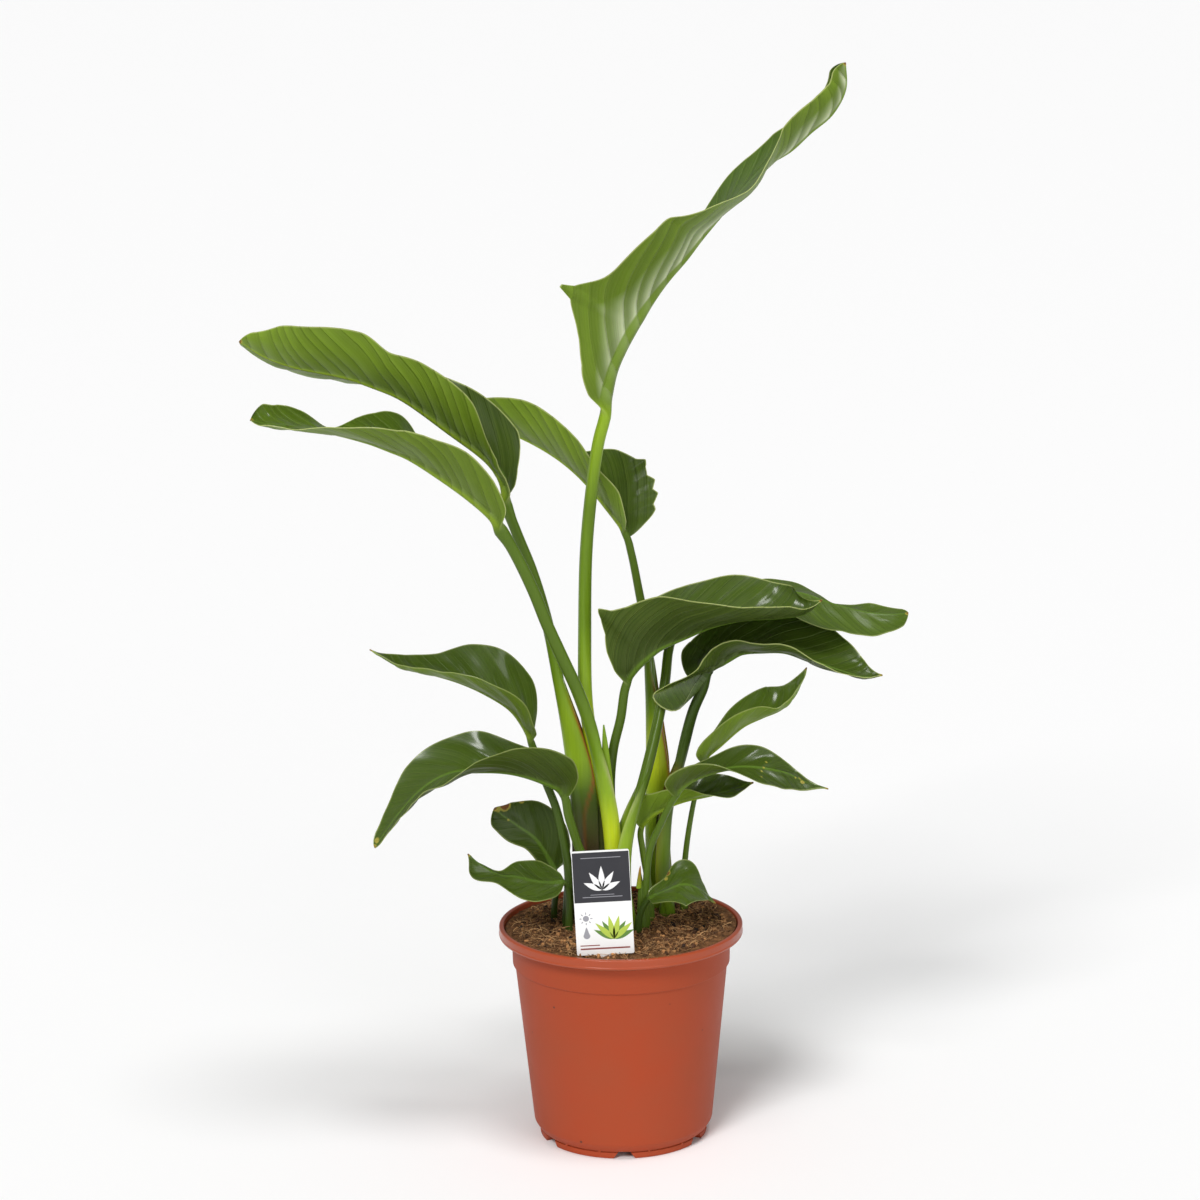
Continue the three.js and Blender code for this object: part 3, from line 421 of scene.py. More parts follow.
# Looks of each leaf: the tones of its upper and its lower side from 0, dark and mature, to 1, young and
# bright, the colours of its stalk by height above the soil, the gloss of its upper side and the silvery sheen
# of its lower side, which is partly a waxy bloom and partly a painted sheen. Edge is the colour of its
# sheath's edges, which may be wide or run inwards at the foot.
LOOKS = {
    "leaf_01": {
        "tones": (0.3, 0.25), "gloss": 0.5,
        "stem": [(0, STEM_OLIVE), (95, STEM_OLIVE), (112, STEM_YELLOW), (155, STEM_YELLOW), (185, STEM_LIME),
                 (240, STEM_FRESH), (330, STEM_MID), (390, STEM_LIME)],
    },
    "leaf_02": {
        "tones": (0.05, 0.95), "gloss": 0.1, "sheen": 0.8, "edge": SHEATH_RED, "edge_inset": 10,
        "stem": [(0, STEM_PURPLE), (62, STEM_PURPLE), (85, STEM_OLIVE), (108, STEM_GREEN), (135, STEM_LIME),
                 (165, STEM_LIME), (200, STEM_FRESH), (260, STEM_GREEN)],
    },
    # leaf_03's bright upper tone is partly its own fresh green and partly a painted highlight.
    "leaf_03": {
        "tones": (1.0, 0.65), "sheen": 0.5, "edge": SHEATH_PALE,
        "stem": [(0, STEM_YELLOW), (80, STEM_YELLOW), (110, STEM_LIME), (145, STEM_FRESH), (200, STEM_GREEN)],
    },
    "leaf_04": {
        "tones": (0.3, 1.0), "gloss": 0.1, "edge": SHEATH_RED,
        "stem": [(0, STEM_LIME), (90, STEM_LIME), (120, STEM_YELLOW), (165, STEM_FRESH), (230, STEM_GREEN)],
    },
    # leaf_05's dark lower tone is partly its own colour and partly painted shade.
    "leaf_05": {"tones": (0.4, 0.0), "sheen": 0.1},
    "leaf_06": {
        "tones": (0.6, 0.4), "gloss": 0.3, "edge": SHEATH_PALE,
        "stem": [(0, STEM_LIME), (75, STEM_LIME), (115, STEM_GREEN)],
    },
    "leaf_07": {
        "tones": (0.15, 0.0), "gloss": 0.6, "sheen": 0.5, "edge": STEM_RUSSET, "edge_width": 3.5,
        "stem": [(0, STEM_MID), (50, STEM_MID), (80, STEM_GREEN), (150, STEM_DARK)],
    },
    "leaf_08": {"tones": (0.9, 0.8), "sheen": 0.3, "stem": GREEN_STEM},
    "leaf_09": {"tones": (0.05, 0.1), "sheen": 0.2, "stem": GREEN_STEM},
    "leaf_10": {"tones": (0.2, 1.0), "sheen": 0.2, "stem": [(0, STEM_GREEN), (200, STEM_LIME)]},
    "leaf_11": {"tones": (0.3, 0.6), "sheen": 0.3},
    "leaf_12": {"tones": (0.3, 0.0), "sheen": 0.1, "stem": [(0, STEM_DARK), (60, STEM_GREEN)]},
    "leaf_13": {"tones": (0.0, 0.0), "gloss": 0.15},
    "leaf_14": {"tones": (0.35, 0.3)},
    "leaf_15": {"tones": (0.35, 0.3)},
}

# Short shoots between the stalks: a ligule's point, and an old sheath with its bud. Wide and deep are halves.
SHOOTS = [
    {"name": "ligule_point", "foot": (-7.5, -8, 262), "tip": (-11.0, -9, 331), "wide": 5.5, "deep": 2,
     "colours": (STEM_LIME, STEM_FRESH)},
    {"name": "old_sheath", "foot": (17.5, -18, 160), "tip": (15.5, -17, 216), "wide": 5.5, "deep": 4,
     "colours": (STEM_GREEN, STEM_GREEN)},
    {"name": "side_bud", "foot": (14.2, -18, 203), "tip": (15.5, -19, 221), "wide": 2.2, "deep": 2,
     "colours": (STEM_LIME, SHEATH_RED)},
]
SHOOT_RINGS = 14
SHOOT_SIDES = 20

# Worn spots: share of the blade, place between front (0) and back margin (1), radius and strength. Every leaf
# has a dry tip, and single leaves have more.
DRY_TIP = (1.0, 0.5, 3.5, 0.75)
WORN_SPOTS = {
    "leaf_09": [(0.60, 0.72, 1.6, 0.55), (0.58, 0.55, 1.4, 0.5), (0.57, 0.36, 1.3, 0.5),
                (0.57, 0.2, 1.4, 0.55), (0.82, 0.6, 2.2, 0.55), (0.84, 0.35, 2.2, 0.6),
                (0.79, 0.45, 1.4, 0.45)],
    "leaf_12": [(0.97, 0.7, 3.5, 0.45)],
    "leaf_13": [(0.93, 0.95, 6.0, 1.0), (0.8, 1.0, 3.0, 0.7), (0.97, 0.7, 4.0, 0.5), (0.8, 0.45, 1.5, 0.4)],
    "leaf_15": [(0.34, 1.0, 3.2, 1.0), (0.3, 0.94, 2.4, 0.5)],
}

# Leaf surfaces: the upper and lower side, each mature and young, and the silvery colour near the midrib
# below, partly a waxy bloom and partly a painted sheen.
GREEN_LEAF = {
    "upper": ((0.033, 0.061, 0.004), (0.08, 0.14, 0.009)),
    "lower": ((0.033, 0.055, 0.005), (0.175, 0.275, 0.020)),
    "silver_bloom_and_sheen": (0.20, 0.25, 0.12),
}
FRESH_LEAF = {
    "upper": ((0.055, 0.11, 0.008), (0.11, 0.20, 0.012)),
    "lower": ((0.10, 0.165, 0.013), (0.20, 0.31, 0.018)),
    "silver_bloom_and_sheen": (0.74, 0.80, 0.55),
}
VEIN_PALE = (0.26, 0.34, 0.08)
# Painted shade of the pleats' grooves, also used for darker random patches.
GROOVE_SHADE_AND_PATCH = (0.012, 0.03, 0.002)
RIB_BELOW = ((0.10, 0.18, 0.015), (0.27, 0.38, 0.02))
RIB_ABOVE = (0.10, 0.18, 0.02)
MARGIN_CREAM = (0.42, 0.47, 0.17)
WORN_YELLOW = (0.34, 0.30, 0.05)
WORN_BROWN = (0.17, 0.075, 0.025)

# Pot and soil surfaces, and the dark and bright colour and the roughness of loose coir.
TERRACOTTA = (0.365, 0.052, 0.014)
TERRACOTTA_FADED = (0.33, 0.062, 0.022)
RIM_DUST = (0.33, 0.11, 0.055)
SPECK = (0.05, 0.03, 0.02)
SOIL_DARK = (0.045, 0.02, 0.008)
SOIL_LIGHT = (0.30, 0.14, 0.055)
COIR = {
    "coir_fibre": ((0.10, 0.040, 0.014), (0.90, 0.52, 0.23), 0.7),
    "coir_crumb": ((0.035, 0.014, 0.006), (0.70, 0.34, 0.13), 0.9),
    "bark_crumb": ((0.012, 0.008, 0.006), (0.12, 0.05, 0.022), 0.8),
}

# Card and inks of the care tag: colour and roughness.
INKS = {
    "card_white": ((0.86, 0.86, 0.85), 0.35),
    "card_slate": ((0.014, 0.014, 0.020), 0.32),
    "ink_pale": ((0.8, 0.8, 0.8), 0.4),
    "ink_grey": ((0.3, 0.3, 0.33), 0.4),
    "ink_green": ((0.10, 0.22, 0.03), 0.4),
    "ink_lime": ((0.42, 0.55, 0.06), 0.4),
    "ink_russet": ((0.25, 0.05, 0.04), 0.4),
}
INK_THICKNESS = 0.06

# Lights: strength, softness, height over the horizon and how far to the right of the camera, in degrees.
WORLD_LIGHT = 0.3
LIGHTS = [
    ("key_light", 1.8, 20, 42, -24),
    ("low_light", 0.9, 40, 10, 22),
    ("top_light", 1.0, 18, 76, 30),
]

# Camera: the photograph's viewpoint.
CAMERA_PLACE = (-12.4, -2500, 975)
CAMERA_PITCH = 12.366
CAMERA_ROLL = 0.86
FOCAL_PIXELS = 3356
PICTURE_PIXELS = 1200
SENSOR_WIDTH = 36


def node(tree, kind, inputs=None, **settings):
    """A node with its settings, and its inputs set to values or linked from other sockets."""
    made = tree.nodes.new(kind)
    for name, value in settings.items():
        setattr(made, name, value)
    for key, value in (inputs or {}).items():
        socket = made.inputs[key]
        if isinstance(value, bpy.types.NodeSocket):
            tree.links.new(value, socket)
        else:
            socket.default_value = (*value, 1) if socket.type == "RGBA" else value
    return made


def maths(tree, operation, first, second=0.0):
    return node(tree, "ShaderNodeMath", {0: first, 1: second}, operation=operation).outputs[0]


def product(tree, first, *others):
    for factor in others:
        first = maths(tree, "MULTIPLY", first, factor)
    return first


def ramp(tree, value, low, high, to_low=0.0, to_high=1.0):
    """The value, taken from one range to another and held inside it."""
    made = node(tree, "ShaderNodeMapRange", {"Value": value, 1: low, 2: high, 3: to_low, 4: to_high})
    return made.outputs[0]


def mixed(tree, share, first, second):
    """Two colours mixed by a share."""
    return node(tree, "ShaderNodeMix", {0: share, 6: first, 7: second}, data_type="RGBA").outputs[2]


def mixed_value(tree, share, first, second):
    """Two numbers mixed by a share."""
    return node(tree, "ShaderNodeMix", {0: share, 2: first, 3: second}, data_type="FLOAT").outputs[0]


def cloud(tree, vector, scale, detail=2.0, rough=0.5):
    return node(tree, "ShaderNodeTexNoise",
                {"Vector": vector, "Scale": scale, "Detail": detail, "Roughness": rough}).outputs["Fac"]


def spots(tree, vector, scale, detail, rough=0.6, low=0.3, high=0.7):
    """A cloudy mask from 0 to 1."""
    return ramp(tree, cloud(tree, vector, scale, detail, rough), low, high)


def own_place(tree):
    """Coordinates on the piece itself, in metres."""
    return node(tree, "ShaderNodeTexCoord").outputs["Object"]


def axes(tree, vector):
    return node(tree, "ShaderNodeSeparateXYZ", {0: vector}).outputs


def joined(tree, **parts):
    return node(tree, "ShaderNodeCombineXYZ", parts).outputs[0]


def vector_maths(tree, operation, first, second):
    """A vector taken with another one, or scaled by a number."""
    key = "Scale" if operation == "SCALE" else 1
    return node(tree, "ShaderNodeVectorMath", {0: first, key: second}, operation=operation).outputs[0]


def read(tree, name, output="Fac"):
    """A value stored on the piece's own points."""
    return node(tree, "ShaderNodeAttribute", attribute_name=name).outputs[output]


def bumped(tree, height, distance):
    return node(tree, "ShaderNodeBump", {"Height": height, "Distance": distance, "Strength": 1.0}).outputs[0]


def new_group(name, inputs, outputs):
    """An empty node group with named sockets of a kind: the group, what it is given and what it puts out."""
    group = bpy.data.node_groups.new(name, "ShaderNodeTree")
    for way, sockets in (("INPUT", inputs), ("OUTPUT", outputs)):
        for socket_name, kind in sockets.items():
            group.interface.new_socket(socket_name, in_out=way, socket_type=f"NodeSocket{kind}")
    return group, group.nodes.new("NodeGroupInput").outputs, group.nodes.new("NodeGroupOutput").inputs


def placed_group(tree, group, inputs):
    return node(tree, "ShaderNodeGroup", inputs, node_tree=group).outputs


def mottle_group():
    """Cloudy darker and lighter patches over a colour, and small dark specks."""
    group, given, out = new_group(
        "mottle",
        {"Vector": "Vector", "Colour": "Color", "Patch": "Color", "Patch size": "Float", "Amount": "Float",
         "Speck size": "Float", "Specks": "Float"},
        {"Colour": "Color", "Mask": "Float"},
    )
    mask = spots(group, given["Vector"], given["Patch size"], 5.0)
    patched = mixed(group, product(group, mask, given["Amount"]), given["Colour"], given["Patch"])
    speck = node(group, "ShaderNodeTexVoronoi",
                 {"Vector": given["Vector"], "Scale": given["Speck size"]}).outputs
    near = ramp(group, speck["Distance"], 0.10, 0.22, 1.0, 0.0)
    chosen = node(group, "ShaderNodeSeparateColor", {0: speck["Color"]}).outputs[0]
    dark = product(group, near, maths(group, "LESS_THAN", chosen, given["Specks"]))
    group.links.new(mixed(group, dark, patched, SPECK), out["Colour"])
    group.links.new(mask, out["Mask"])
    return group


def vein_group():
    """Side veins of a blade, from its vein coordinates, one unit to a pleat: fine lines, pleats that rise
    towards the tip and drop at a vein, which the leaf uses for painted shade in the grooves and painted
    sheen, the pale line of that vein, and a height."""
    names = ("Fine", "Pleats", "Lines", "Height")
    group, given, out = new_group("side_veins", {"Vector": "Vector"}, dict.fromkeys(names, "Float"))
    split = axes(group, given["Vector"])
    fine_lay = joined(group, X=product(group, split["X"], FINE_LINES), Y=product(group, split["Y"], 9.0))
    fine = spots(group, fine_lay, 1.0, 1.0, 0.5)
    pleats = maths(group, "FRACT", split["X"])
    from_vein = maths(group, "ABSOLUTE", maths(group, "SUBTRACT", pleats, PLEAT_TURN))
    lines = ramp(group, from_vein, 0.0, 0.05, 1.0, 0.0)
    slope = maths(group, "POWER", pleats, PLEAT_POWER)
    ridge = product(group, slope, ramp(group, pleats, PLEAT_TURN, 1.0, 1.0, 0.0))
    height = maths(group, "ADD", product(group, fine, 0.14), ridge)
    for name, value in zip(names, (fine, slope, lines, height)):
        group.links.new(value, out[name])
    return group


MOTTLE = mottle_group()
SIDE_VEINS = vein_group()


def new_material(name, **constants):
    """A material with a Principled shader whose constant values are set on its own sockets."""
    material = bpy.data.materials.new(name)
    material.use_nodes = True
    shader = material.node_tree.nodes["Principled BSDF"]
    for key, value in constants.items():
        shader.inputs[key.replace("_", " ")].default_value = value
    return material, material.node_tree, shader


def feed(tree, shader, **values):
    """Links values to the shader's sockets, an underscore standing for a space in a name."""
    for key, value in values.items():
        tree.links.new(value, shader.inputs[key.replace("_", " ")])


def plastic_material():
    """Terracotta-coloured moulded plastic, matt and mottled, with dark specks and a glossier rim."""
    material, tree, shader = new_material("terracotta_plastic", Specular_IOR_Level=0.22, Coat_Roughness=0.15)
    place = own_place(tree)
    colour = placed_group(tree, MOTTLE, {
        "Vector": place, "Colour": TERRACOTTA, "Patch": TERRACOTTA_FADED,
        "Patch size": 22.0, "Amount": 0.7, "Speck size": 160.0, "Specks": 0.012,
    })
    rim = ramp(tree, axes(tree, place)["Z"], (RIM_UNDER - 1) * MM, RIM_UNDER * MM)
    rough = ramp(tree, colour["Mask"], 0.0, 1.0, 0.5, 0.6)
    feed(
        tree, shader,
        Base_Color=mixed(tree, product(tree, rim, 0.12), colour["Colour"], RIM_DUST),
        Roughness=mixed_value(tree, rim, rough, 0.32),
        Coat_Weight=product(tree, rim, 0.25),
        Normal=bumped(tree, cloud(tree, place, 2200.0), 0.00004),
    )
    return material


def soil_material():
    """Moist coir compost seen between its fibres."""
    material, tree, shader = new_material("coir_soil", Roughness=0.95, Specular_IOR_Level=0.2)
    place = own_place(tree)
    colour = placed_group(tree, MOTTLE, {
        "Vector": place, "Colour": SOIL_DARK, "Patch": SOIL_LIGHT,
        "Patch size": 180.0, "Amount": 0.9, "Speck size": 300.0, "Specks": 0.2,
    })["Colour"]
    feed(tree, shader, Base_Color=colour, Normal=bumped(tree, cloud(tree, place, 700.0, 6.0), 0.0012))
    return material


def coir_material(name):
    """Loose coir, each bit with its own shade between dark and bright."""
    dark, bright, rough = COIR[name]
    material, tree, shader = new_material(name, Roughness=rough, Specular_IOR_Level=0.3)
    shade = maths(tree, "POWER", read(tree, "shade"), 1.25)
    streak = spots(tree, own_place(tree), 900.0, 3.0)
    colour = mixed(tree, product(tree, streak, 0.4), mixed(tree, shade, dark, bright), dark)
    feed(tree, shader, Base_Color=colour, Normal=bumped(tree, streak, 0.0002))
    return material


def leaf_material(name, colours):
    """Leathery leaf: glossy above, satin and silvery below, the silver partly a waxy bloom and partly a
    painted sheen, with pleats whose grooves carry painted shade, fine side veins, a cream margin, and the
    stalk's own colours."""
    material, tree, shader = new_material(
        name, Specular_IOR_Level=0.12, Coat_Roughness=0.2, Subsurface_Weight=0.1,
        Subsurface_Scale=0.0015, Subsurface_Radius=(0.6, 1.0, 0.15))
    place = own_place(tree)
    lay = read(tree, "lay", "Vector")
    split = axes(tree, lay)
    zone = axes(tree, read(tree, "zone", "Vector"))
    upper, stem, rib_width = zone["X"], zone["Y"], zone["Z"]
    from_rib = maths(tree, "ABSOLUTE", split["Y"])
    to_margin = split["Z"]
    outward = maths(tree, "DIVIDE", from_rib, maths(tree, "ADD", from_rib, to_margin))
    look = node(tree, "ShaderNodeSeparateColor", {0: read(tree, "look", "Color")}).outputs
    tone, gloss, bloom_and_sheen_amount = look["Red"], look["Green"], look["Blue"]
    pleated = read(tree, "look", "Alpha")
    veins = placed_group(tree, SIDE_VEINS, {"Vector": lay})

    top = mixed(tree, tone, *colours["upper"])
    under = mixed(tree, tone, *colours["lower"])
    bright_margin = product(tree, ramp(tree, outward, 0.45, 0.95), ramp(tree, tone, 0.0, 1.0, 0.12, 0.4))
    under = mixed(tree, bright_margin, under, colours["lower"][1])
    # The silvery band along the midrib below is partly a waxy bloom and partly a painted sheen, brighter
    # where each pleat rises towards its vein.
    near_rib = product(tree, ramp(tree, outward, 0.03, 0.6, 1.0, 0.0), bloom_and_sheen_amount)
    sheen = product(tree, near_rib, ramp(tree, veins["Pleats"], 0.1, 1.0, 0.25, 1.0))
    under = mixed(tree, sheen, under, colours["silver_bloom_and_sheen"])
    blade = mixed(tree, upper, under, top)
    pale = mixed(tree, 0.5, blade, VEIN_PALE)
    # deep is the blade darkened: painted shade in the pleats' grooves, and darker random patches.
    deep = mixed(tree, 0.5, blade, GROOVE_SHADE_AND_PATCH)
    # Painted shade in the groove at the start of each pleat.
    groove_shade = product(tree, ramp(tree, veins["Pleats"], 0.0, 0.6, 0.55, 0.0), pleated)
    blade = mixed(tree, groove_shade, blade, deep)
    blade = mixed(tree, product(tree, veins["Fine"], 0.28), blade, pale)
    blade = mixed(tree, product(tree, veins["Lines"], pleated, 0.25), blade, pale)
    patch = spots(tree, place, 25.0, 3.0, 0.6, 0.35, 0.75)
    blade = mixed(tree, product(tree, patch, 0.3), blade, deep)

    rib = ramp(tree, maths(tree, "SUBTRACT", from_rib, rib_width), -0.0008, 0.0006, 1.0, 0.0)
    rib_colour = mixed(tree, upper, mixed(tree, tone, *RIB_BELOW), RIB_ABOVE)
    blade = mixed(tree, product(tree, rib, 0.85), blade, rib_colour)
    margin = ramp(tree, to_margin, 0.0004, 0.0012, 1.0, 0.0)
    margin = product(tree, margin, ramp(tree, pleated, SMALL_PLEATING, 1.0, 0.4, 0.75))
    blade = mixed(tree, margin, blade, MARGIN_CREAM)

    streak_lay = vector_maths(tree, "MULTIPLY", place, (900.0, 900.0, 12.0))
    streak = spots(tree, streak_lay, 1.0, 2.0)
    paint = read(tree, "stem_paint", "Color")
    stalk = mixed(tree, product(tree, streak, 0.25), paint, mixed(tree, 0.5, paint, STEM_STREAK))
    colour = mixed(tree, stem, blade, stalk)
    ragged = product(tree, spots(tree, place, 600.0, 2.0, 0.5), 0.5)
    worn = product(tree, read(tree, "worn"), maths(tree, "ADD", ragged, 0.75))
    colour = mixed(tree, ramp(tree, worn, 0.1, 0.4), colour, WORN_YELLOW)
    colour = mixed(tree, ramp(tree, worn, 0.5, 0.8), colour, WORN_BROWN)
    speckled = placed_group(tree, MOTTLE, {
        "Vector": place, "Colour": colour, "Patch": colour, "Patch size": 30.0, "Amount": 0.0,
        "Speck size": 130.0, "Specks": 0.004,
    })

    upper_rough = ramp(tree, spots(tree, place, 60.0, 3.0), 0.0, 1.0, 0.28, 0.38)
    rough = mixed_value(tree, stem, mixed_value(tree, upper, 0.42, upper_rough), 0.34)
    coat = mixed_value(tree, stem, product(tree, upper, 0.6, gloss), 0.15)
    on_blade = maths(tree, "SUBTRACT", 1.0, stem)
    height = product(tree, veins["Height"], on_blade, ramp(tree, pleated, 0.0, 1.0, 0.2, 1.0))
    feed(
        tree, shader,
        Base_Color=speckled["Colour"],
        Roughness=mixed_value(tree, worn, rough, 0.85),
        Coat_Weight=product(tree, coat, ramp(tree, worn, 0.0, 1.0, 1.0, 0.0)),
        Normal=bumped(tree, height, 0.0007),
    )
    return material


def card_material(name):
    """Coated card: a smooth print with a faint grain and a few scuffs."""
    colour, rough = INKS[name]
    material, tree, shader = new_material(name, Specular_IOR_Level=0.5)
    place = own_place(tree)
    shade = placed_group(tree, MOTTLE, {
        "Vector": place, "Colour": colour, "Patch": tuple(0.88 * part + 0.01 for part in colour),
        "Patch size": 60.0, "Amount": 0.5, "Speck size": 500.0, "Specks": 0.0,
    })
    feed(
        tree, shader,
        Base_Color=shade["Colour"],
        Roughness=ramp(tree, shade["Mask"], 0.0, 1.0, rough, rough + 0.12),
        Normal=bumped(tree, cloud(tree, place, 3000.0), 0.00001),
    )
    return material


def floor_material():
    return new_material(
        "pale_floor", Base_Color=(0.95, 0.95, 0.95, 1), Roughness=0.8, Specular_IOR_Level=0.1)[0]


def in_frame(points):
    """Millimetres about the pot's axis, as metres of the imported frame."""
    return np.asarray(points, float) * MM + np.array(POT_AXIS)


def new_object(name, mesh, material):
    obj = bpy.data.objects.new(name, mesh)
    bpy.context.scene.collection.objects.link(obj)
    if material:
        mesh.materials.clear()
        mesh.materials.append(material)
    return obj


def new_mesh(name, points, faces, smooth_angle=math.radians(40)):
    """A mesh from millimetre points and faces, smooth up to an angle."""
    mesh = bpy.data.meshes.new(name)
    mesh.from_pydata(in_frame(points).tolist(), [], [tuple(map(int, face)) for face in faces])
    mesh.shade_smooth()
    mesh.set_sharp_from_angle(angle=smooth_angle)
    mesh.validate()
    return mesh


def dress(piece, replaced=None):
    """Hangs a finished piece on the part's body and hides the node that it stands for."""
    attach(piece, BODY)
    if replaced:
        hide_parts(replaced)


def faced_outwards(mesh):
    """Turns every face of a closed mesh outwards."""
    work = bmesh.new()
    work.from_mesh(mesh)
    bmesh.ops.recalc_face_normals(work, faces=work.faces)
    work.to_mesh(mesh)
    work.free()
    return mesh


def evaluated_mesh(obj, name):
    """The mesh that an object's modifiers make."""
    bpy.context.view_layer.update()
    mesh = bpy.data.meshes.new_from_object(obj.evaluated_get(bpy.context.evaluated_depsgraph_get()))
    mesh.name = name
    return mesh


def disc_faces(rings, sides):
    """Faces over rings of points, numbered outwards from a first point in the middle."""
    faces = [(0, 1 + k, 1 + (k + 1) % sides) for k in range(sides)]
    for low in range(1, 1 + (rings - 1) * sides, sides):
        high = low + sides
        faces += [(low + k, high + k, high + (k + 1) % sides, low + (k + 1) % sides) for k in range(sides)]
    return faces


def closed_faces(rings, sides):
    """Faces over a first point, rings of points and a last point."""
    last = 1 + (rings - 1) * sides
    return disc_faces(rings, sides) + [(last + sides, last + (k + 1) % sides, last + k) for k in range(sides)]


def bar_faces(n):
    """Faces of a straight bar between two outlines of n points."""
    sides = [(i, (i + 1) % n, n + (i + 1) % n, n + i) for i in range(n)]
    return [tuple(range(n))[::-1], tuple(range(n, 2 * n)), *sides]


def merged(parts):
    """Several bodies, each of points and faces, as one."""
    points, faces = [], []
    for new_points, new_faces in parts:
        start = len(points)
        points.extend(new_points)
        faces.extend([tuple(start + i for i in face) for face in new_faces])
    return points, faces


def circle(x, y, radius, sides):
    turns = [2 * math.pi * k / sides for k in range(sides)]
    return [(x + radius * math.cos(turn), y + radius * math.sin(turn)) for turn in turns]


def rounded(corners, steps=4):
    """An open outline through the corners, each rounded as far as its third number says."""
    outline = [corners[0][:2]]
    for before, corner, after in zip(corners, corners[1:], corners[2:]):
        here = Vector(corner[:2])
        back = Vector(before[:2]) - here
        on = Vector(after[:2]) - here
        start = here + back.normalized() * min(corner[2], 0.45 * back.length)
        end = here + on.normalized() * min(corner[2], 0.45 * on.length)
        for i in range(steps + 1):
            t = i / steps
            outline.append(tuple((1 - t) ** 2 * start + 2 * t * (1 - t) * here + t * t * end))
    outline.append(corners[-1][:2])
    return outline


def turned(outline, sides):
    """A body turned round the pot's axis from an outline that starts and ends on it."""
    points = [(0, 0, outline[0][1])]
    inner = outline[1:-1]
    for radius, height in inner:
        points += [(x, y, height) for x, y in circle(0, 0, radius, sides)]
    points.append((0, 0, outline[-1][1]))
    return points, closed_faces(len(inner), sides)


def pot_cutters():
    """The notches of the foot and the drain holes, as closed bars to cut away."""
    low, top, notch_top = NOTCH_WIDTH_LOW / 2, NOTCH_WIDTH_TOP / 2, CHAMFER_LOW - 0.5
    notch = [(-low, -1), (low, -1), (top, notch_top), (-top, notch_top)]
    for i in range(NOTCHES):
        turn = 2 * math.pi * i / NOTCHES
        spin = Matrix.Rotation(turn, 3, "Z")
        depths = (-FOOT_RADIUS - 4, -FOOT_RADIUS + FOOT_WALL + 4)
        yield [tuple(spin @ Vector((x, y, z))) for y in depths for x, z in notch], bar_faces(len(notch))
        drain = turn + math.pi / NOTCHES
        x, y = DRAIN_CIRCLE * math.sin(drain), -DRAIN_CIRCLE * math.cos(drain)
        hole = circle(x, y, DRAIN_RADIUS, DRAIN_SIDES)
        yield [(x, y, z) for z in (CHAMFER_LOW - 2, FLOOR_TOP + 2) for x, y in hole], bar_faces(DRAIN_SIDES)


def make_pot(plastic):
    name = "nursery_pot"
    pot = new_object(name, faced_outwards(new_mesh(name, *turned(rounded(POT_CORNERS), POT_SIDES))), plastic)
    cutter = new_object("pot_cutter", faced_outwards(new_mesh("pot_cutter", *merged(pot_cutters()))), None)
    cut = pot.modifiers.new("notches", "BOOLEAN")
    cut.operation = "DIFFERENCE"
    cut.solver = "EXACT"
    cut.object = cutter
    whole = evaluated_mesh(pot, name)
    pot.modifiers.remove(cut)
    pot.data = whole
    whole.materials.clear()
    whole.materials.append(plastic)
    whole.shade_smooth()
    whole.set_sharp_from_angle(angle=math.radians(35))
    bpy.data.objects.remove(cutter)
    dress(pot, "pot")


def node_tree(name, inputs):
    """An empty geometry tree with named inputs; returns the tree and its input sockets."""
    tree = bpy.data.node_groups.new(name, "GeometryNodeTree")
    tree.interface.new_socket("Geometry", in_out="INPUT", socket_type="NodeSocketGeometry")
    for socket_name, kind in inputs.items():
        tree.interface.new_socket(socket_name, in_out="INPUT", socket_type=f"NodeSocket{kind}")
    tree.interface.new_socket("Geometry", in_out="OUTPUT", socket_type="NodeSocketGeometry")
    return tree, tree.nodes.new("NodeGroupInput").outputs


def finish_tree(tree, instances, material):
    """Ends a tree: real geometry, smooth, with its material."""
    real = node(tree, "GeometryNodeRealizeInstances", {0: instances}).outputs[0]
    smooth = node(tree, "GeometryNodeSetShadeSmooth", {0: real}).outputs[0]
    finished = node(tree, "GeometryNodeSetMaterial", {0: smooth, "Material": material}).outputs[0]
    tree.links.new(finished, tree.nodes.new("NodeGroupOutput").inputs[0])


def grown(name, base_mesh, tree, values):
    """The plain object that a geometry tree makes from a base mesh and its named input values."""
    base = new_object(name, base_mesh, None)
    modifier = base.modifiers.new(name, "NODES")
    modifier.node_group = tree
    for item in tree.interface.items_tree:
        if item.in_out == "INPUT" and item.name in values:
            modifier[item.identifier] = values[item.name]
    mesh = evaluated_mesh(base, name)
    base.modifiers.remove(modifier)
    base.data = mesh
    return base


def make_pegs(plastic):
    """Small round pegs under the chamfer, two between each pair of notches."""
    turns = [math.radians(360 / NOTCHES * i + angle) for i in range(NOTCHES) for angle in PEG_ANGLES]
    places = [(PEG_CIRCLE * math.sin(turn), -PEG_CIRCLE * math.cos(turn), PEG_HEIGHT) for turn in turns]
    tree, given = node_tree("peg_ring", {"Radius": "Float"})
    ball = {"Segments": 16, "Rings": 10, "Radius": given["Radius"]}
    peg = node(tree, "GeometryNodeMeshUVSphere", ball).outputs[0]
    placed = node(tree, "GeometryNodeInstanceOnPoints",
                  {"Points": given["Geometry"], "Instance": peg}).outputs[0]
    finish_tree(tree, placed, plastic)
    pegs = grown("foot_pegs", new_mesh("foot_pegs", places, []), tree, {"Radius": PEG_RADIUS * MM})
    dress(pegs)


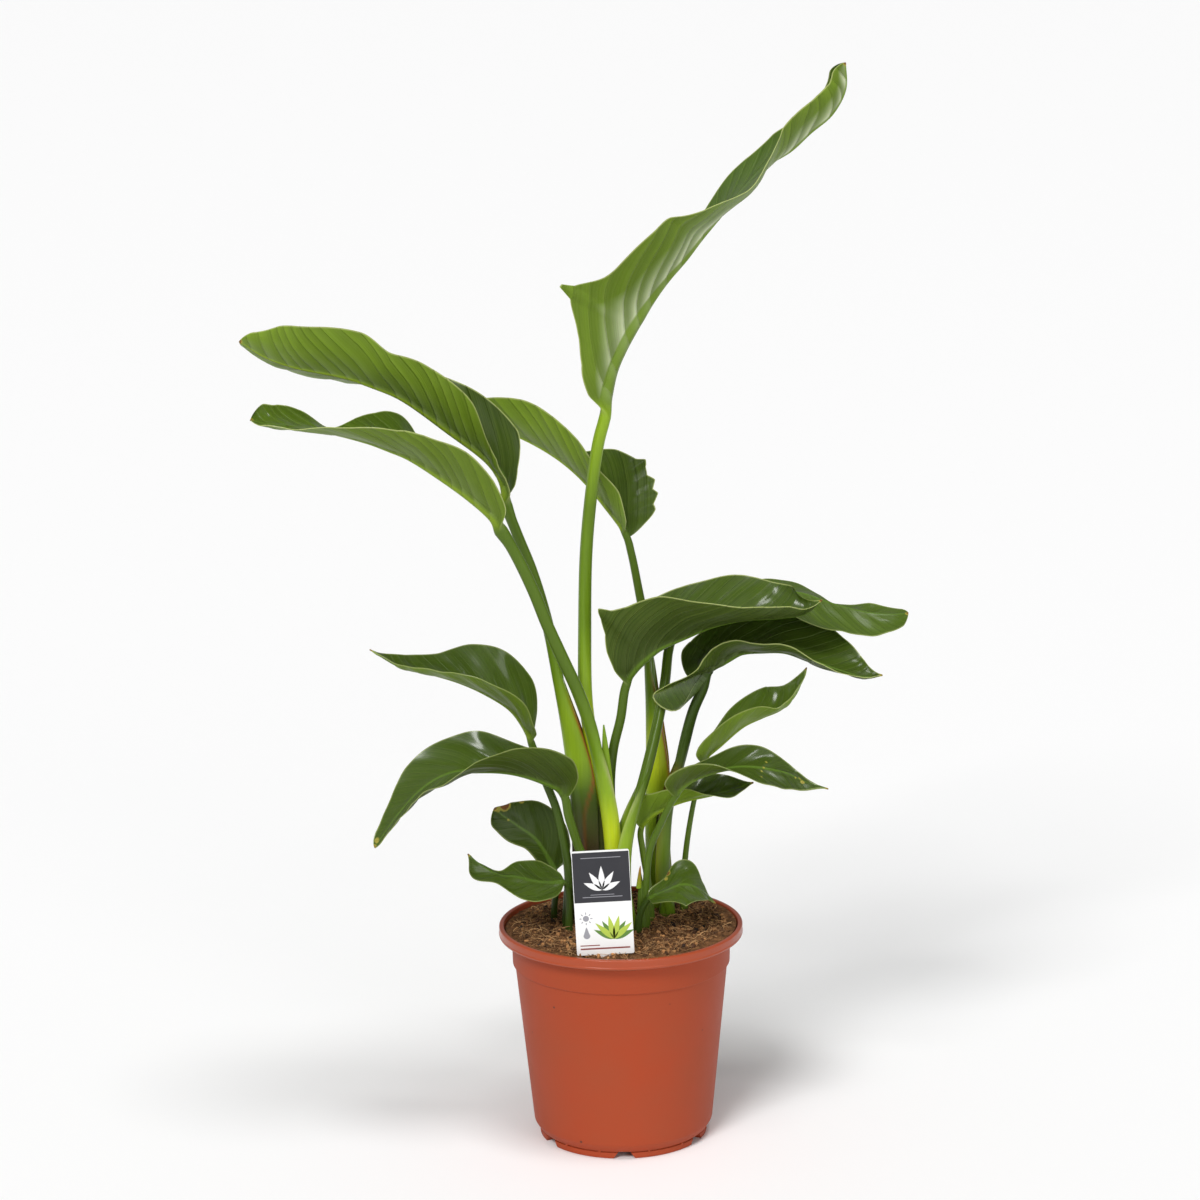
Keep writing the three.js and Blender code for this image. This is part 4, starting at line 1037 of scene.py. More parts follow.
def fibre_shapes(tree):
    """Bent strands, each a thin tube."""
    section = node(tree, "GeometryNodeCurvePrimitiveCircle",
                   {"Resolution": 3, "Radius": FIBRE_RADIUS}).outputs[0]
    for sideways, upwards in FIBRE_BENDS:
        bend = node(tree, "GeometryNodeCurveQuadraticBezier", {
            "Resolution": FIBRE_STEPS,
            "Start": (-FIBRE_LENGTH / 2, 0, 0),
            "Middle": (0, sideways * FIBRE_LENGTH, upwards * FIBRE_LENGTH),
            "End": (FIBRE_LENGTH / 2, 0.1 * FIBRE_LENGTH, 0),
        }).outputs[0]
        yield node(tree, "GeometryNodeCurveToMesh",
                   {"Curve": bend, "Profile Curve": section, "Fill Caps": True}).outputs[0]


def crumb_shapes(tree):
    """Lumps, each a small ball pushed out of round."""
    for lump in range(SHAPES):
        ball = node(tree, "GeometryNodeMeshIcoSphere", {"Radius": CRUMB_RADIUS, "Subdivisions": 2}).outputs[0]
        place = node(tree, "GeometryNodeInputPosition").outputs[0]
        moved = vector_maths(tree, "ADD", place, (lump * 3.7, lump * 1.3, 0.0))
        rough = node(tree, "ShaderNodeTexNoise",
                     {"Vector": moved, "Scale": 1.1 / CRUMB_RADIUS, "Detail": 1.0}).outputs["Color"]
        centred = vector_maths(tree, "SUBTRACT", rough, (0.5, 0.5, 0.5))
        push = vector_maths(tree, "SCALE", centred, 1.6 * CRUMB_RADIUS)
        yield node(tree, "GeometryNodeSetPosition", {"Geometry": ball, "Offset": push}).outputs[0]


def scatter_tree(name, shapes, material):
    """Strews shapes over a surface, each with its own turn, size, lift and shade. Shapes is a function that
    gives the shapes to choose from."""
    tree, given = node_tree(name, SCATTER_INPUTS)
    seed = given["Seed"]

    def draw(offset, low, high, kind="FLOAT"):
        """A random value for each point; the offset keeps the draws of one tree apart."""
        low_socket, high_socket, out = {"FLOAT_VECTOR": (0, 1, 0), "FLOAT": (2, 3, 1)}[kind]
        own_seed = maths(tree, "ADD", seed, float(offset))
        return node(tree, "FunctionNodeRandomValue", {low_socket: low, high_socket: high, "Seed": own_seed},
                    data_type=kind).outputs[out]

    points = node(tree, "GeometryNodeDistributePointsOnFaces",
                  {"Mesh": given["Geometry"], "Density": given["Density"], "Seed": seed}).outputs["Points"]
    upwards = joined(tree, Z=draw(1, 0.0, given["Lift"]))
    points = node(tree, "GeometryNodeSetPosition", {"Geometry": points, "Offset": upwards}).outputs[0]
    choices = node(tree, "GeometryNodeGeometryToInstance")
    for shape in shapes(tree):
        tree.links.new(shape, choices.inputs[0])
    least_tilt = product(tree, given["Tilt"], -1.0)
    turns = joined(tree, X=draw(2, least_tilt, given["Tilt"]), Y=draw(3, least_tilt, given["Tilt"]),
                   Z=draw(4, 0.0, 2 * math.pi))
    size = draw(5, given["Smallest"], given["Largest"])
    stretch = draw(6, *STRETCH, kind="FLOAT_VECTOR")
    pick = node(tree, "FunctionNodeRandomValue",
                {4: 0, 5: SHAPES - 1, "Seed": seed}, data_type="INT").outputs[2]
    placed = node(tree, "GeometryNodeInstanceOnPoints", {
        "Points": points, "Instance": choices.outputs[0], "Pick Instance": True, "Instance Index": pick,
        "Rotation": node(tree, "FunctionNodeEulerToRotation", {0: turns}).outputs[0],
        "Scale": vector_maths(tree, "SCALE", stretch, size),
    }).outputs[0]
    shaded = node(tree, "GeometryNodeStoreNamedAttribute",
                  {"Geometry": placed, "Name": "shade", "Value": draw(7, 0.0, 1.0)},
                  data_type="FLOAT", domain="INSTANCE").outputs[0]
    finish_tree(tree, shaded, material)
    return tree


def smoothstep(low, high, x):
    t = np.clip((np.asarray(x, float) - low) / (high - low), 0, 1)
    return t * t * (3 - 2 * t)


def soil_height(x, y):
    """Height of the soil: a low crown, higher at the right, lower at the back left."""
    crown = SOIL_CROWN * max(0, 1 - (x * x + y * y) / RIM_RADIUS ** 2)
    right = SOIL_RIGHT_RISE * float(smoothstep(0, 80, x))
    dip = SOIL_BACK_DIP * float(smoothstep(30, 90, y - x))
    return SOIL_EDGE + crown + right - dip


def soil_lumps(x, y):
    """Fine lumps of the surface, which fade out at its edge."""
    lumps = [height * noise.noise(Vector((x / size, y / size, layer))) for size, height, layer in SOIL_LUMPS]
    return sum(lumps) * float(smoothstep(SOIL_RADIUS, SOIL_RADIUS - 4, math.hypot(x, y)))


def soil_points(rings, radius):
    """A first point in the middle of the soil's surface and rings of points around it."""
    points = [(0, 0, soil_height(0, 0))]
    for i in range(1, rings + 1):
        points += [(x, y, soil_height(x, y) + soil_lumps(x, y))
                   for x, y in circle(0, 0, radius * i / rings, SOIL_SPOKES)]
    return points


def make_soil():
    points = soil_points(SOIL_RINGS, SOIL_RADIUS)
    points += [(0.9 * x, 0.9 * y, SOIL_SKIRT) for x, y, _ in points[-SOIL_SPOKES:]]
    points.append((0, 0, SOIL_SKIRT))
    mesh = new_mesh("coir_soil", points, closed_faces(SOIL_RINGS + 1, SOIL_SPOKES), math.radians(80))
    dress(new_object("coir_soil", faced_outwards(mesh), soil_material()), "soil")


def rim_patch():
    """The part of the rim, right of the front, where spilt crumbs lie."""
    points = []
    for turn in map(math.radians, range(0, 29, 4)):
        for radius in (RIM_RADIUS - 3, RIM_RADIUS - 0.8):
            points.append((radius * math.sin(turn), -radius * math.cos(turn), POT_HEIGHT + 0.2))
    faces = [(2 * i, 2 * i + 1, 2 * i + 3, 2 * i + 2) for i in range(len(points) // 2 - 1)]
    return points, faces


def make_strewn():
    """Loose fibres and crumbs on the soil, and a few crumbs on the rim."""
    rings = SOIL_RINGS // 3
    ground = soil_points(rings, STREWN_RADIUS), disc_faces(rings, SOIL_SPOKES)
    materials = {name: coir_material(name) for name in COIR}
    for name, coir, on_rim, *amounts in STREWN:
        shapes = fibre_shapes if coir == "coir_fibre" else crumb_shapes
        tree = scatter_tree(name, shapes, materials[coir])
        base = new_mesh(name, *(rim_patch() if on_rim else ground))
        dress(grown(name, base, tree, dict(zip(SCATTER_INPUTS, amounts))))


def card_outline():
    """The card's outline in x and z about the middle of its lower edge, with round corners and a pointed
    foot."""
    half, foot = TAG_WIDTH / 2, TAG_FOOT_WIDTH / 2

    def corner(side, low, start):
        centre_x = side * (half - TAG_CORNER)
        centre_z = TAG_CORNER if low else TAG_HEIGHT - TAG_CORNER
        return [(centre_x + TAG_CORNER * math.cos(turn), centre_z + TAG_CORNER * math.sin(turn))
                for turn in map(math.radians, range(start, start + 91, 15))]

    point = foot - TAG_FOOT_DEPTH
    stake = [(-foot, 0), (-foot, point), (0, -TAG_FOOT_DEPTH), (foot, point), (foot, 0)]
    return corner(-1, True, 180) + stake + corner(1, True, 270) + corner(1, False, 0) + corner(-1, False, 90)


def slab(outline, front, back):
    """A flat plate from an outline in the card's x and z, between two depths, placed as the card."""
    lean = Matrix.Rotation(TAG_LEAN, 3, "Y")
    points = [tuple(lean @ Vector((x, y, z)) + Vector(TAG_PLACE)) for y in (front, back) for x, z in outline]
    return points, bar_faces(len(outline))


def make_plates(name, outlines, front, back, material, replaced=None):
    """One piece made of several flat plates."""
    points, faces = merged(slab(outline, front, back) for outline in outlines)
    mesh = faced_outwards(new_mesh(name, points, faces, math.radians(30)))
    dress(new_object(name, mesh, material), replaced)


def block(left, right, low, high):
    return [(left, low), (right, low), (right, high), (left, high)]


def leaf_motif(x, z, length, width, angle):
    """A plain printed leaf shape from its foot, at an angle from upright."""
    outline = []
    for side in (1, -1):
        shares = np.linspace(0, 1, 9)
        for share in shares if side > 0 else shares[::-1][1:-1]:
            across = side * width / 2 * math.sin(math.pi * share ** 0.8)
            along = length * share
            outline.append((x + along * math.sin(angle) + across * math.cos(angle),
                            z + along * math.cos(angle) - across * math.sin(angle)))
    return outline


def round_motif(x, z, radius, point=0.0):
    """A plain printed disc, drawn out upwards into a drop by the point's length."""
    turns = np.linspace(0, 2 * math.pi, 24, endpoint=False)
    return [(x + radius * math.sin(t) * (1 - 0.4 * min(1, point) * max(0, math.cos(t))),
             z + radius * math.cos(t) + point * max(0, math.cos(t)) ** 3) for t in turns]


def make_tag():
    """A care tag: stiff white card with a fan of leaves on a dark panel above, and a spray, a sun and a drop
    below. It has no lettering."""
    inks = {name: card_material(name) for name in INKS}
    half = TAG_WIDTH / 2
    face = -TAG_THICKNESS / 2
    make_plates("care_tag", [card_outline()], face, -face, inks["card_white"], "tag")

    def printed(name, outlines, layer, ink):
        back = face - layer * INK_THICKNESS
        make_plates(name, outlines, face - (layer + 1) * INK_THICKNESS, back, inks[ink])

    printed("tag_slate_panel", [block(-half + 0.4, half - 0.4, 41.5, TAG_HEIGHT - 1.2)], 0, "card_slate")
    fan = [leaf_motif(0, 51, 19 - 0.06 * abs(turn), 4.6, math.radians(turn)) for turn in range(-66, 67, 33)]
    printed("tag_fan", fan, 1, "ink_pale")
    rules = [block(-15, 15, 45.4, 45.9), block(-9, 9, 47.2, 47.6), block(-15, 15, 76.2, 76.7)]
    printed("tag_rules", rules, 1, "ink_grey")
    for name, turns, length, layer, ink in (
            ("tag_spray", (-62, -30, 34, 66), 17, 0, "ink_green"),
            ("tag_spray_bright", (-46, -10, 14, 48), 19, 1, "ink_lime")):
        printed(name, [leaf_motif(7, 12, length, 4.4, math.radians(turn)) for turn in turns], layer, ink)
    sign_x, sun_z, drop_z, ray_start = -13.5, 29, 15.5, 3.1
    rays = [leaf_motif(sign_x + ray_start * math.sin(a), sun_z + ray_start * math.cos(a), 2.2, 0.8, a)
            for a in np.linspace(0, 2 * math.pi, 8, endpoint=False)]
    signs = [round_motif(sign_x, sun_z, 2.3), *rays, round_motif(sign_x, drop_z, 2.6, 4.0)]
    printed("tag_icons", signs, 0, "ink_grey")
    bands = [block(-half + 3, half - 3, 4.4, 5.6), block(-half + 3, -4, 7.2, 8.0)]
    printed("tag_bands", bands, 0, "ink_russet")


def hermite(first, last, start, end, t):
    """Points between two ends, from the directions there."""
    return (first + start * t + (3 * last - 3 * first - 2 * start - end) * t ** 2
            + (2 * first - 2 * last + start + end) * t ** 3)


def catmull_rom(points, steps):
    """A centripetal Catmull-Rom curve through the points, as short straight steps."""
    points = np.array(points, float)
    padded = np.vstack([2 * points[0] - points[1], points, 2 * points[-1] - points[-2]])
    gaps = np.sqrt(np.linalg.norm(np.diff(padded, axis=0), axis=1))
    t = np.arange(steps)[:, None] / steps
    spans = []
    for i in range(len(points) - 1):
        a, b, c, d = padded[i:i + 4]
        g0, g1, g2 = gaps[i:i + 3]
        start = ((b - a) / g0 - (c - a) / (g0 + g1) + (c - b) / g1) * g1
        end = ((c - b) / g1 - (d - b) / (g1 + g2) + (d - c) / g2) * g1
        spans.append(hermite(b, c, start, end, t))
    return np.vstack([*spans, points[-1:]])


def spline(rows, place):
    """A uniform Catmull-Rom curve through rows of values, read at shares of its way."""
    rows = np.array(rows, float)
    last = len(rows) - 1
    spot = np.clip(place, 0, 1) * last
    i = np.minimum(spot.astype(int), last - 1)
    a, b = rows[np.maximum(i - 1, 0)], rows[i]
    c, d = rows[i + 1], rows[np.minimum(i + 2, last)]
    return hermite(b, c, (c - a) / 2, (d - b) / 2, (spot - i)[:, None])


def unit(vectors):
    return vectors / np.linalg.norm(vectors, axis=-1, keepdims=True)


def lerp(first, second, share):
    return first + (second - first) * share


def waves(rows, path, seed):
    """A sum of waves along a path."""
    return sum(height * np.sin(path / length + turn * seed) for length, height, turn in rows)


def leaf_number(leaf):
    return int(leaf["name"][-2:])


class LeafLine:
    """The centre line of a leaf and what changes along it, ring by ring."""

    def __init__(self, leaf, stalk_rings, blade_rings):
        x, y = leaf["foot"]
        stalk = [(x, y, STEM_FOOT), (x, y, POT_HEIGHT + 3), *leaf["stalk"]]
        curve = catmull_rom(stalk + [row[:3] for row in leaf["blade"]], CURVE_STEPS)
        lengths = np.concatenate([[0], np.cumsum(np.linalg.norm(np.diff(curve, axis=0), axis=1))])
        self.length = lengths[-1]
        self.neck = lengths[len(stalk) * CURVE_STEPS]
        blade_length = self.length - self.neck
        rows = (lengths[len(stalk) * CURVE_STEPS::CURVE_STEPS] - self.neck) / blade_length

        step = np.arange(blade_rings + 1) / blade_rings
        along_blade = lerp(step, (1 - np.cos(np.pi * step)) / 2, 0.6)
        self.distance = np.concatenate([
            [0],
            np.linspace(RIM_UNDER - STEM_FOOT, self.neck, stalk_rings, endpoint=False),
            self.neck + blade_length * along_blade,
        ])

        def at(distance):
            spot = np.clip(distance, 0, self.length)
            return np.stack([np.interp(spot, lengths, curve[:, k]) for k in range(3)], axis=1)

        self.centre = at(self.distance)
        self.tangent = unit(at(self.distance + STALK_STEP) - at(self.distance - STALK_STEP))
        up = np.array(leaf["up"], float)[None, :]
        self.up = unit(up - np.sum(up * self.tangent, axis=1, keepdims=True) * self.tangent)
        self.front = np.cross(self.tangent, self.up) * leaf["lean"]
        self.share = np.clip((self.distance - self.neck) / blade_length, 0, 1)
        self.place = np.interp(self.share, rows, np.arange(len(rows)) / (len(rows) - 1))

        shoulder, taper = leaf.get("shoulder", SHOULDER), leaf.get("taper", TAPER)
        self.opening = np.sqrt(1 - (1 - np.minimum(self.share / shoulder, 1)) ** 2)
        closing = (1 - np.maximum(0, (self.share - 1 + taper) / taper) ** 2) ** 0.65
        self.fullness = self.opening * closing
        foot_radius, neck_radius = leaf["girth"]
        on_stalk = np.minimum(self.distance / self.neck, 1)
        self.radius = np.where(self.distance < self.neck, lerp(foot_radius, neck_radius, on_stalk),
                               neck_radius * (1 - 0.85 * self.share ** 0.8))
        past_neck = (self.distance - self.neck) / (NECK_KNOB_LENGTH * neck_radius)
        self.radius *= 1 + leaf.get("knob", 0) * np.exp(-past_neck ** 2)
        over_soil = self.centre[:, 2] - SOIL_EDGE
        self.wrapped = np.zeros_like(self.share)
        if "sheath" in leaf:
            opened = smoothstep(0.5, 1, over_soil / leaf["sheath"][0])
            clasp = (1 - opened) * smoothstep(*CLASP_START, over_soil)
            self.wrapped = np.where(self.distance < self.neck, clasp, 0)
        self.round_foot = 1 - smoothstep(*ROUND_FOOT, over_soil)
        self.flat = smoothstep(0, 0.05, self.share)


def nibbled(leaf, side, share):
    """What is left of a margin's reach: less where it is torn, more where it runs out into a point."""
    left = np.ones_like(share)
    for torn_side, at, half_width, depth in leaf.get("nibbles", []):
        if torn_side == side:
            left -= depth * np.maximum(0, 1 - np.abs(share - at) / half_width)
    return left


def lobe_reach(knots, share):
    """The reach and back sweep of a folded basal lobe, from knots of share, rise, spread and sweep, and how
    far the blade's own rows have taken over."""
    knots = np.array(knots, float)
    offsets = np.linspace(-LOBE_SOFTNESS, LOBE_SOFTNESS, 9)
    places = np.clip(share[:, None] + offsets, 0, 1)
    rise, spread, sweep = (np.interp(places, knots[:, 0], knots[:, k]).mean(axis=1) for k in (1, 2, 3))
    opened = np.sqrt(np.clip(share / 0.004, 0, 1))
    own = np.stack([rise, spread], axis=1) * opened[:, None]
    return own, sweep * opened, smoothstep(knots[-2, 0], knots[-1, 0], share)


def vein_phase(leaf, along, out):
    """Which pleat a point of a blade lies in, counted from the base. Side veins leave the midrib at a slant
    and bend on towards the tip, and pleats are of uneven width."""
    vein = along - VEIN_SLANT * out - VEIN_BEND * out ** 2
    width = leaf.get("pleat", PLEAT if leaf.get("large") else SMALL_PLEAT)
    return (vein + waves(VEIN_WAVES, vein, leaf_number(leaf))) / width


def blade_relief(leaf, line, side, u, along, out, swept):
    """How far the skin stands off its smooth form: a wavy margin, broad folds and narrow pleats along the
    side veins."""
    seed = leaf_number(leaf) * 7 + side * 3
    wave = waves(MARGIN_WAVES, (line.distance - line.neck)[:, None], seed)
    phase = vein_phase(leaf, along, out)
    fold = np.sin(2 * np.pi * phase / FOLD_PLEATS + seed)
    share = phase - np.floor(phase)
    pleat = share ** PLEAT_POWER * np.clip((1 - share) / (1 - PLEAT_TURN), 0, 1)
    middle = smoothstep(*RELIEF_RISE, u) * (1 - FADED_RELIEF * smoothstep(*RELIEF_FADE, u))
    pleating = PLEAT_HEIGHT * (1 if leaf.get("large") else SMALL_PLEATING)
    relief = wave * u ** 3 + (FOLD_HEIGHT * fold + pleating * pleat) * middle
    calm = 1 - CALMED_RELIEF * smoothstep(*SWEPT_CALM, swept)
    return relief * calm * (line.flat * line.fullness)[:, None]


def leaf_side(leaf, line, side, steps):
    """One half of a leaf from the midrib out: upper and lower points, and the lay of each point."""
    rise_at = 3 if side == 0 else 5
    rows = [(row[rise_at], row[rise_at + 1]) for row in leaf["blade"]]
    out = line.front if side == 0 else -line.front
    free = spline(rows, line.place)
    reach = free * (line.fullness * nibbled(leaf, side, line.share))[:, None]
    lobed = "near_lobe" in leaf and side == 0
    if lobed:
        own, back_sweep, blend = lobe_reach(leaf["near_lobe"], line.share)
        reach = lerp(own, reach, blend[:, None])
    least = line.radius * LEAST_REACH
    short = np.linalg.norm(reach, axis=1) < least
    reach[short] = unit(free[short]) * least[short][:, None]
    edge = np.minimum(line.radius / np.linalg.norm(reach, axis=1), WIDEST_RIB)[:, None]

    t = np.linspace(0, 1, steps + 1)[None, :]
    outward = np.clip((t - RIB_STEPS) / (1 - RIB_STEPS), 0, 1)
    u = np.where(t < RIB_STEPS, edge * t / RIB_STEPS, edge + (1 - edge) * outward)
    turn = np.pi / 2 * t
    rise, spread = reach[:, :1], reach[:, 1:]
    bend_rise, bend_spread = 0.5 * rise - CUP * spread, 0.5 * spread + CUP * rise
    blade_rise = 2 * u * (1 - u) * bend_rise + u * u * rise
    blade_spread = 2 * u * (1 - u) * bend_spread + u * u * spread
    run_rise = (1 - 2 * u) * bend_rise + u * rise
    run_spread = (1 - 2 * u) * bend_spread + u * spread

    radius = line.radius[:, None]
    wrap = line.wrapped[:, None]
    flat = line.flat[:, None]
    _, depth, half_width = leaf.get("sheath", (1, 0, 0))
    over_soil = line.centre[:, 2:] - SOIL_EDGE
    depth = lerp(leaf.get("sheath_foot", depth), depth, smoothstep(*OWN_DEPTH, over_soil))
    width = lerp(radius, half_width, wrap)
    stalk_rise = depth * wrap * (1 - np.cos(turn))
    stalk_spread = width * np.sin(turn)
    stalk_run = np.stack([depth * wrap * np.sin(turn), width * (np.cos(turn) + 0.02)])
    blade_run = np.stack([run_rise, run_spread]) / np.hypot(run_rise, run_spread)
    run = lerp(stalk_run, blade_run, flat)
    run = run / np.hypot(run[0], run[1])
    rise_here = lerp(stalk_rise, blade_rise, flat)
    spread_here = lerp(stalk_spread, blade_spread, flat)

    up, out3, tangent = line.up[:, None, :], out[:, None, :], line.tangent[:, None, :]
    normal = up * run[1][..., None] - out3 * run[0][..., None]
    normal[:, 0] = line.up
    round_part = np.cos(turn)
    dish = STALK_TOP * round_part - (STALK_TOP - CHANNEL) * np.exp(-(turn / CHANNEL_ANGLE) ** 2)
    foot_top = FOOT_TOP * round_part
    stalk_top = radius * (1 - wrap) * lerp(dish, foot_top, line.round_foot[:, None]) + LEAST_ABOVE
    sheath_wall = SHEATH_WALL + SHEATH_KEEL * radius * round_part
    stalk_below = np.maximum(LEAST_BELOW, lerp(STALK_BELOW * radius * round_part, sheath_wall, wrap))
    rib = np.sqrt(np.clip(1 - (u / (KEEL_WIDTH * edge)) ** 2, 0, 1))
    half_blade = BLADE_THICKNESS / 2 * (1 - MARGIN_THINNING * u)
    groove = RIB_GROOVE * radius * np.exp(-(u / (GROOVE_WIDTH * edge)) ** 2)
    above = lerp(stalk_top, half_blade - groove, flat)
    below = lerp(stalk_below, half_blade + KEEL * radius * rib, flat)

    if lobed:
        swept = back_sweep[:, None] * u ** 1.5
    else:
        ear = leaf.get("ears", (0, 0))[side]
        swept = ear * (u * np.maximum(0, 1 - line.share[:, None] / EAR_SHARE)) ** 1.5 * line.opening[:, None]
    swept = np.where(line.distance[:, None] > line.neck, swept, 0)
    smooth = (line.centre[:, None, :] + up * rise_here[..., None] + out3 * spread_here[..., None]
              - tangent * swept[..., None])
    paces = np.linalg.norm(np.diff(smooth, axis=1), axis=2)
    across = np.concatenate([np.zeros((len(paces), 1)), np.cumsum(paces, axis=1)], axis=1)
    along = (line.distance - line.neck)[:, None] - swept
    relief = blade_relief(leaf, line, side, u, along, across, swept)
    point = smooth + normal * relief[..., None]
    return {
        "upper": point + normal * above[..., None],
        "lower": point - normal * below[..., None],
        "across": across if side else -across,
        "margin": across[:, -1:] - across,
        "phase": vein_phase(leaf, along, across),
    }


def stem_colours(name, heights, to_margin, wrapped):
    """Colour of each stalk point by its height above the soil, with a stripe along a sheath's margins that
    runs inwards and fades towards the soil."""
    look = LOOKS[name]
    stops, colours = zip(*look.get("stem", PLAIN_STEM))
    base = np.stack([np.interp(heights, stops, parts) for parts in zip(*colours)], axis=-1)
    if "edge" in look:
        low = 1 - smoothstep(*EDGE_FADE_HEIGHTS, heights)
        off_line = (to_margin - look.get("edge_inset", 0) * low) / look.get("edge_width", EDGE_WIDTH)
        stripe = np.exp(-off_line ** 2) * smoothstep(0.15, 0.6, wrapped)
        stripe = stripe * (1 - EDGE_FADE * low)
        base = lerp(base, np.array(look["edge"]), stripe[..., None])
    return base


def wear(leaf, line, points):
    """How worn each point of a leaf is: the dry tip and the leaf's own spots."""
    worn = np.zeros(points.shape[:2])
    for share, over, radius, strength in (DRY_TIP, *WORN_SPOTS.get(leaf["name"], [])):
        ring = np.argmin(np.abs(np.where(line.distance < line.neck, -9, line.share) - share))
        centre = points[ring, round(over * (points.shape[1] - 1))]
        gap = np.linalg.norm(points - centre, axis=2)
        worn = np.maximum(worn, strength * (1 - smoothstep(0.3, 1, gap / radius)))
    return worn


def store(mesh, name, kind, values):
    """Stores a value on each point of a mesh: a number, a vector or a colour."""
    key = {"FLOAT": "value", "FLOAT_VECTOR": "vector", "FLOAT_COLOR": "color"}[kind]
    mesh.attributes.new(name, kind, "POINT").data.foreach_set(key, np.asarray(values, float).ravel())


def leaf_mesh(leaf):
    """A leaf as one closed skin of stalk and blade, with the lay of its surface stored on its points."""
    grade = FINE if leaf.get("large") else SMALL
    line = LeafLine(leaf, grade["stalk_rings"], grade["blade_rings"])
    front, back = (leaf_side(leaf, line, side, grade["steps"]) for side in (0, 1))
    upper, lower, across, to_margin, phase = (
        np.concatenate([front[key][:, ::-1], back[key][:, 1:]], axis=1)
        for key in ("upper", "lower", "across", "margin", "phase"))
    rings, width = upper.shape[:2]

    count = rings * width
    index = np.arange(count).reshape(rings, width)
    a, b, c, d = index[:-1, :-1], index[:-1, 1:], index[1:, 1:], index[1:, :-1]
    top_faces = np.stack([a, b, c, d], axis=-1).reshape(-1, 4)
    low_faces = np.stack([a, d, c, b], axis=-1).reshape(-1, 4) + count
    edges = [np.stack([row[:-1], row[1:], row[1:] + count, row[:-1] + count], axis=-1)
             for row in (index[:, 0], index[::-1, -1], index[0, ::-1], index[-1, :])]
    faces = np.concatenate([top_faces, low_faces, *edges])
    if leaf["lean"] > 0:
        faces = faces[:, ::-1]
    points = np.concatenate([upper.reshape(-1, 3), lower.reshape(-1, 3)])
    mesh = new_mesh(leaf["name"], points, faces.tolist(), math.radians(50))

    everywhere = np.ones((rings, width))
    stem = 1 - line.flat[:, None] * everywhere
    rib_width = leaf.get("rib", 1.0) * line.radius[:, None] * everywhere * MM
    lay = np.stack([phase, across * MM, to_margin * MM], axis=-1)
    zones = [np.stack([is_upper * everywhere, stem, rib_width], axis=-1) for is_upper in (1, 0)]
    paint = stem_colours(leaf["name"], upper[..., 2] - SOIL_EDGE, to_margin, line.wrapped[:, None])
    paint = np.concatenate([paint, everywhere[..., None]], axis=-1)
    look = LOOKS[leaf["name"]]
    rest = (look.get("gloss", 1.0), look.get("sheen", 1.0), 1.0 if leaf.get("large") else SMALL_PLEATING)
    worn = wear(leaf, line, upper)
    store(mesh, "lay", "FLOAT_VECTOR", [lay, lay])
    store(mesh, "zone", "FLOAT_VECTOR", zones)
    store(mesh, "stem_paint", "FLOAT_COLOR", [paint, paint])
    store(mesh, "look", "FLOAT_COLOR", [np.tile((tone, *rest), (count, 1)) for tone in look["tones"]])
    store(mesh, "worn", "FLOAT", [worn, worn])
    return mesh


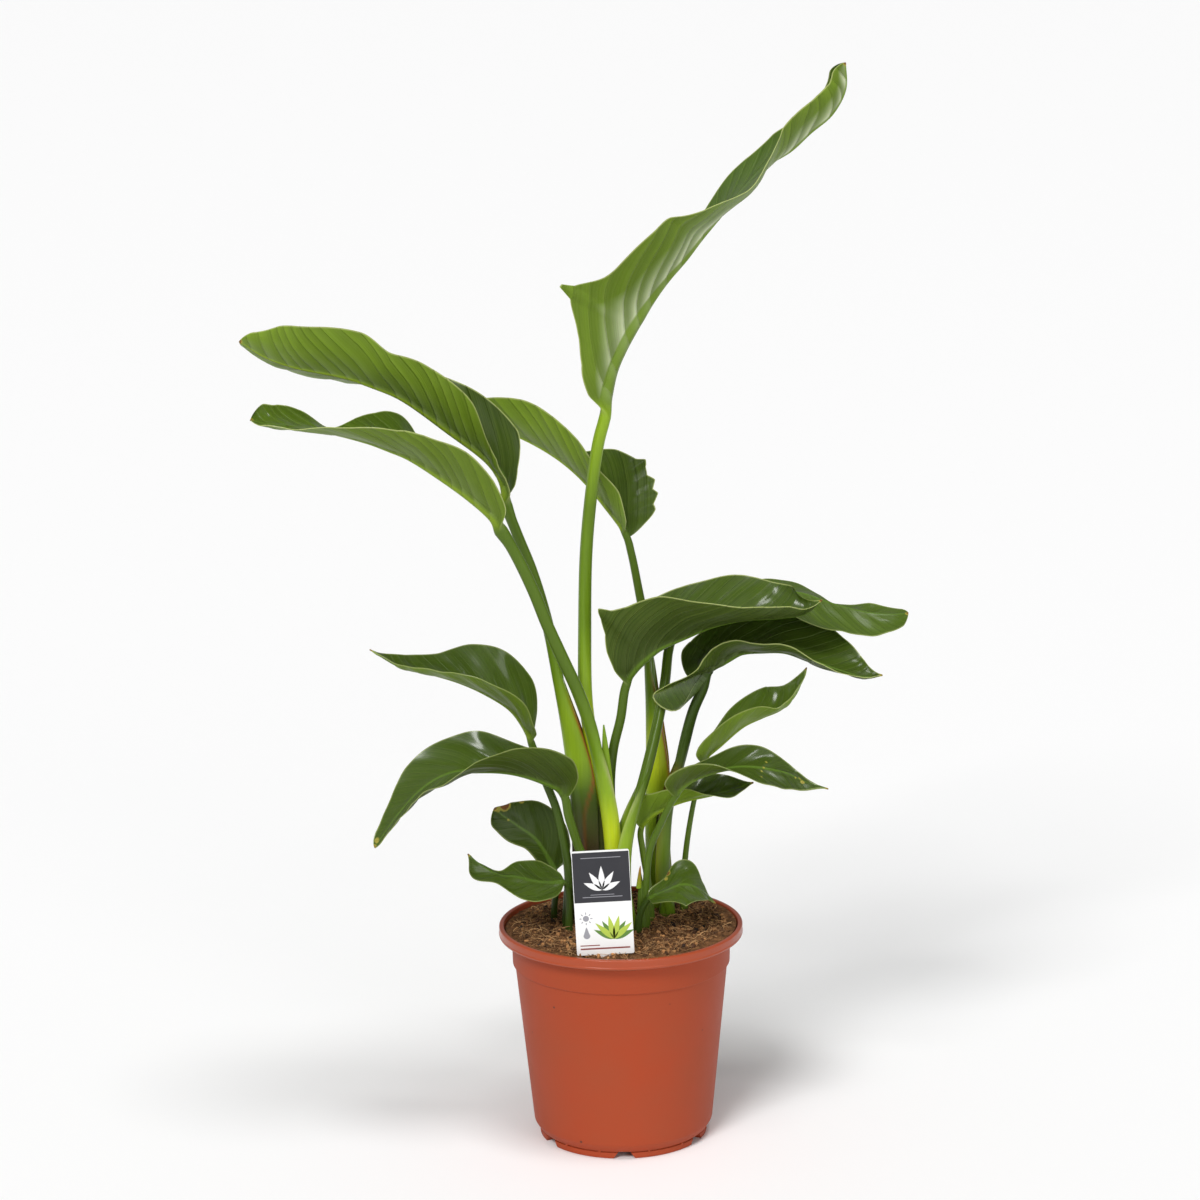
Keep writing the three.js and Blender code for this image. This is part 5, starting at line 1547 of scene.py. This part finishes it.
def shoot_mesh(shoot):
    """A short pointed shoot, with its colours at foot and tip."""
    foot, tip = np.array(shoot["foot"], float), np.array(shoot["tip"], float)
    step = np.linspace(0, 1, SHOOT_RINGS)[:, None]
    turn = np.linspace(0, 2 * np.pi, SHOOT_SIDES, endpoint=False)[None, :]
    fullness = np.clip(1 - step, 0.02, 1) ** 0.6
    section = np.stack([shoot["wide"] * np.cos(turn), shoot["deep"] * np.sin(turn), 0 * turn], axis=-1)
    points = lerp(foot, tip, step)[:, None, :] + fullness[..., None] * section
    index = np.arange(SHOOT_RINGS * SHOOT_SIDES).reshape(SHOOT_RINGS, SHOOT_SIDES)
    following = np.roll(index, -1, axis=1)
    sides = np.stack([index[:-1], following[:-1], following[1:], index[1:]], axis=-1).reshape(-1, 4)
    faces = [*sides.tolist(), index[0, ::-1].tolist(), index[-1].tolist()]
    mesh = new_mesh(shoot["name"], points.reshape(-1, 3), faces, math.radians(60))
    paint = np.repeat(lerp(*(np.array(colour) for colour in shoot["colours"]), step), SHOOT_SIDES, axis=0)
    store(mesh, "zone", "FLOAT_VECTOR", np.tile((0.0, 1.0, 0.0), (index.size, 1)))
    store(mesh, "stem_paint", "FLOAT_COLOR", np.concatenate([paint, np.ones((index.size, 1))], axis=1))
    return mesh


def make_leaves():
    green = leaf_material("green_leaf", GREEN_LEAF)
    fresh = leaf_material("fresh_leaf", FRESH_LEAF)
    for leaf in LEAVES:
        name = leaf["name"]
        young = name == YOUNG_LEAF
        skin = new_object(f"{name}_skin", leaf_mesh(leaf), fresh if young else green)
        dress(skin, name)
    for shoot in SHOOTS:
        dress(new_object(shoot["name"], shoot_mesh(shoot), green))


def make_studio():
    """A wide pale floor and soft light."""
    bpy.ops.mesh.primitive_circle_add(vertices=64, radius=60, fill_type="NGON")
    floor = bpy.context.object
    floor.name = "floor"
    floor.data.materials.append(floor_material())

    world = bpy.data.worlds.new("soft_studio")
    bpy.context.scene.world = world
    world.use_nodes = True
    background = world.node_tree.nodes["Background"]
    background.inputs["Color"].default_value = (1, 1, 1, 1)
    background.inputs["Strength"].default_value = WORLD_LIGHT

    for name, strength, angle, height, side in LIGHTS:
        light = bpy.data.lights.new(name, "SUN")
        light.energy = strength
        light.angle = math.radians(angle)
        lamp = new_object(name, light, None)
        lamp.rotation_euler = (math.radians(90 - height), 0, math.radians(side))


def make_camera():
    """The photograph's viewpoint."""
    data = bpy.data.cameras.new("camera")
    data.sensor_width = SENSOR_WIDTH
    data.lens = FOCAL_PIXELS / PICTURE_PIXELS * SENSOR_WIDTH
    data.clip_end = 200
    camera = new_object("camera", data, None)
    pitch = Matrix.Rotation(math.radians(90 - CAMERA_PITCH), 4, "X")
    roll = Matrix.Rotation(math.radians(-CAMERA_ROLL), 4, "Z")
    camera.matrix_world = Matrix.Translation(in_frame(CAMERA_PLACE).tolist()) @ pitch @ roll
    bpy.context.scene.camera = camera


bpy.context.scene.view_settings.view_transform = "Standard"
make_camera()
make_studio()
terracotta = plastic_material()
make_pot(terracotta)
make_pegs(terracotta)
make_soil()
make_strewn()
make_tag()
make_leaves()
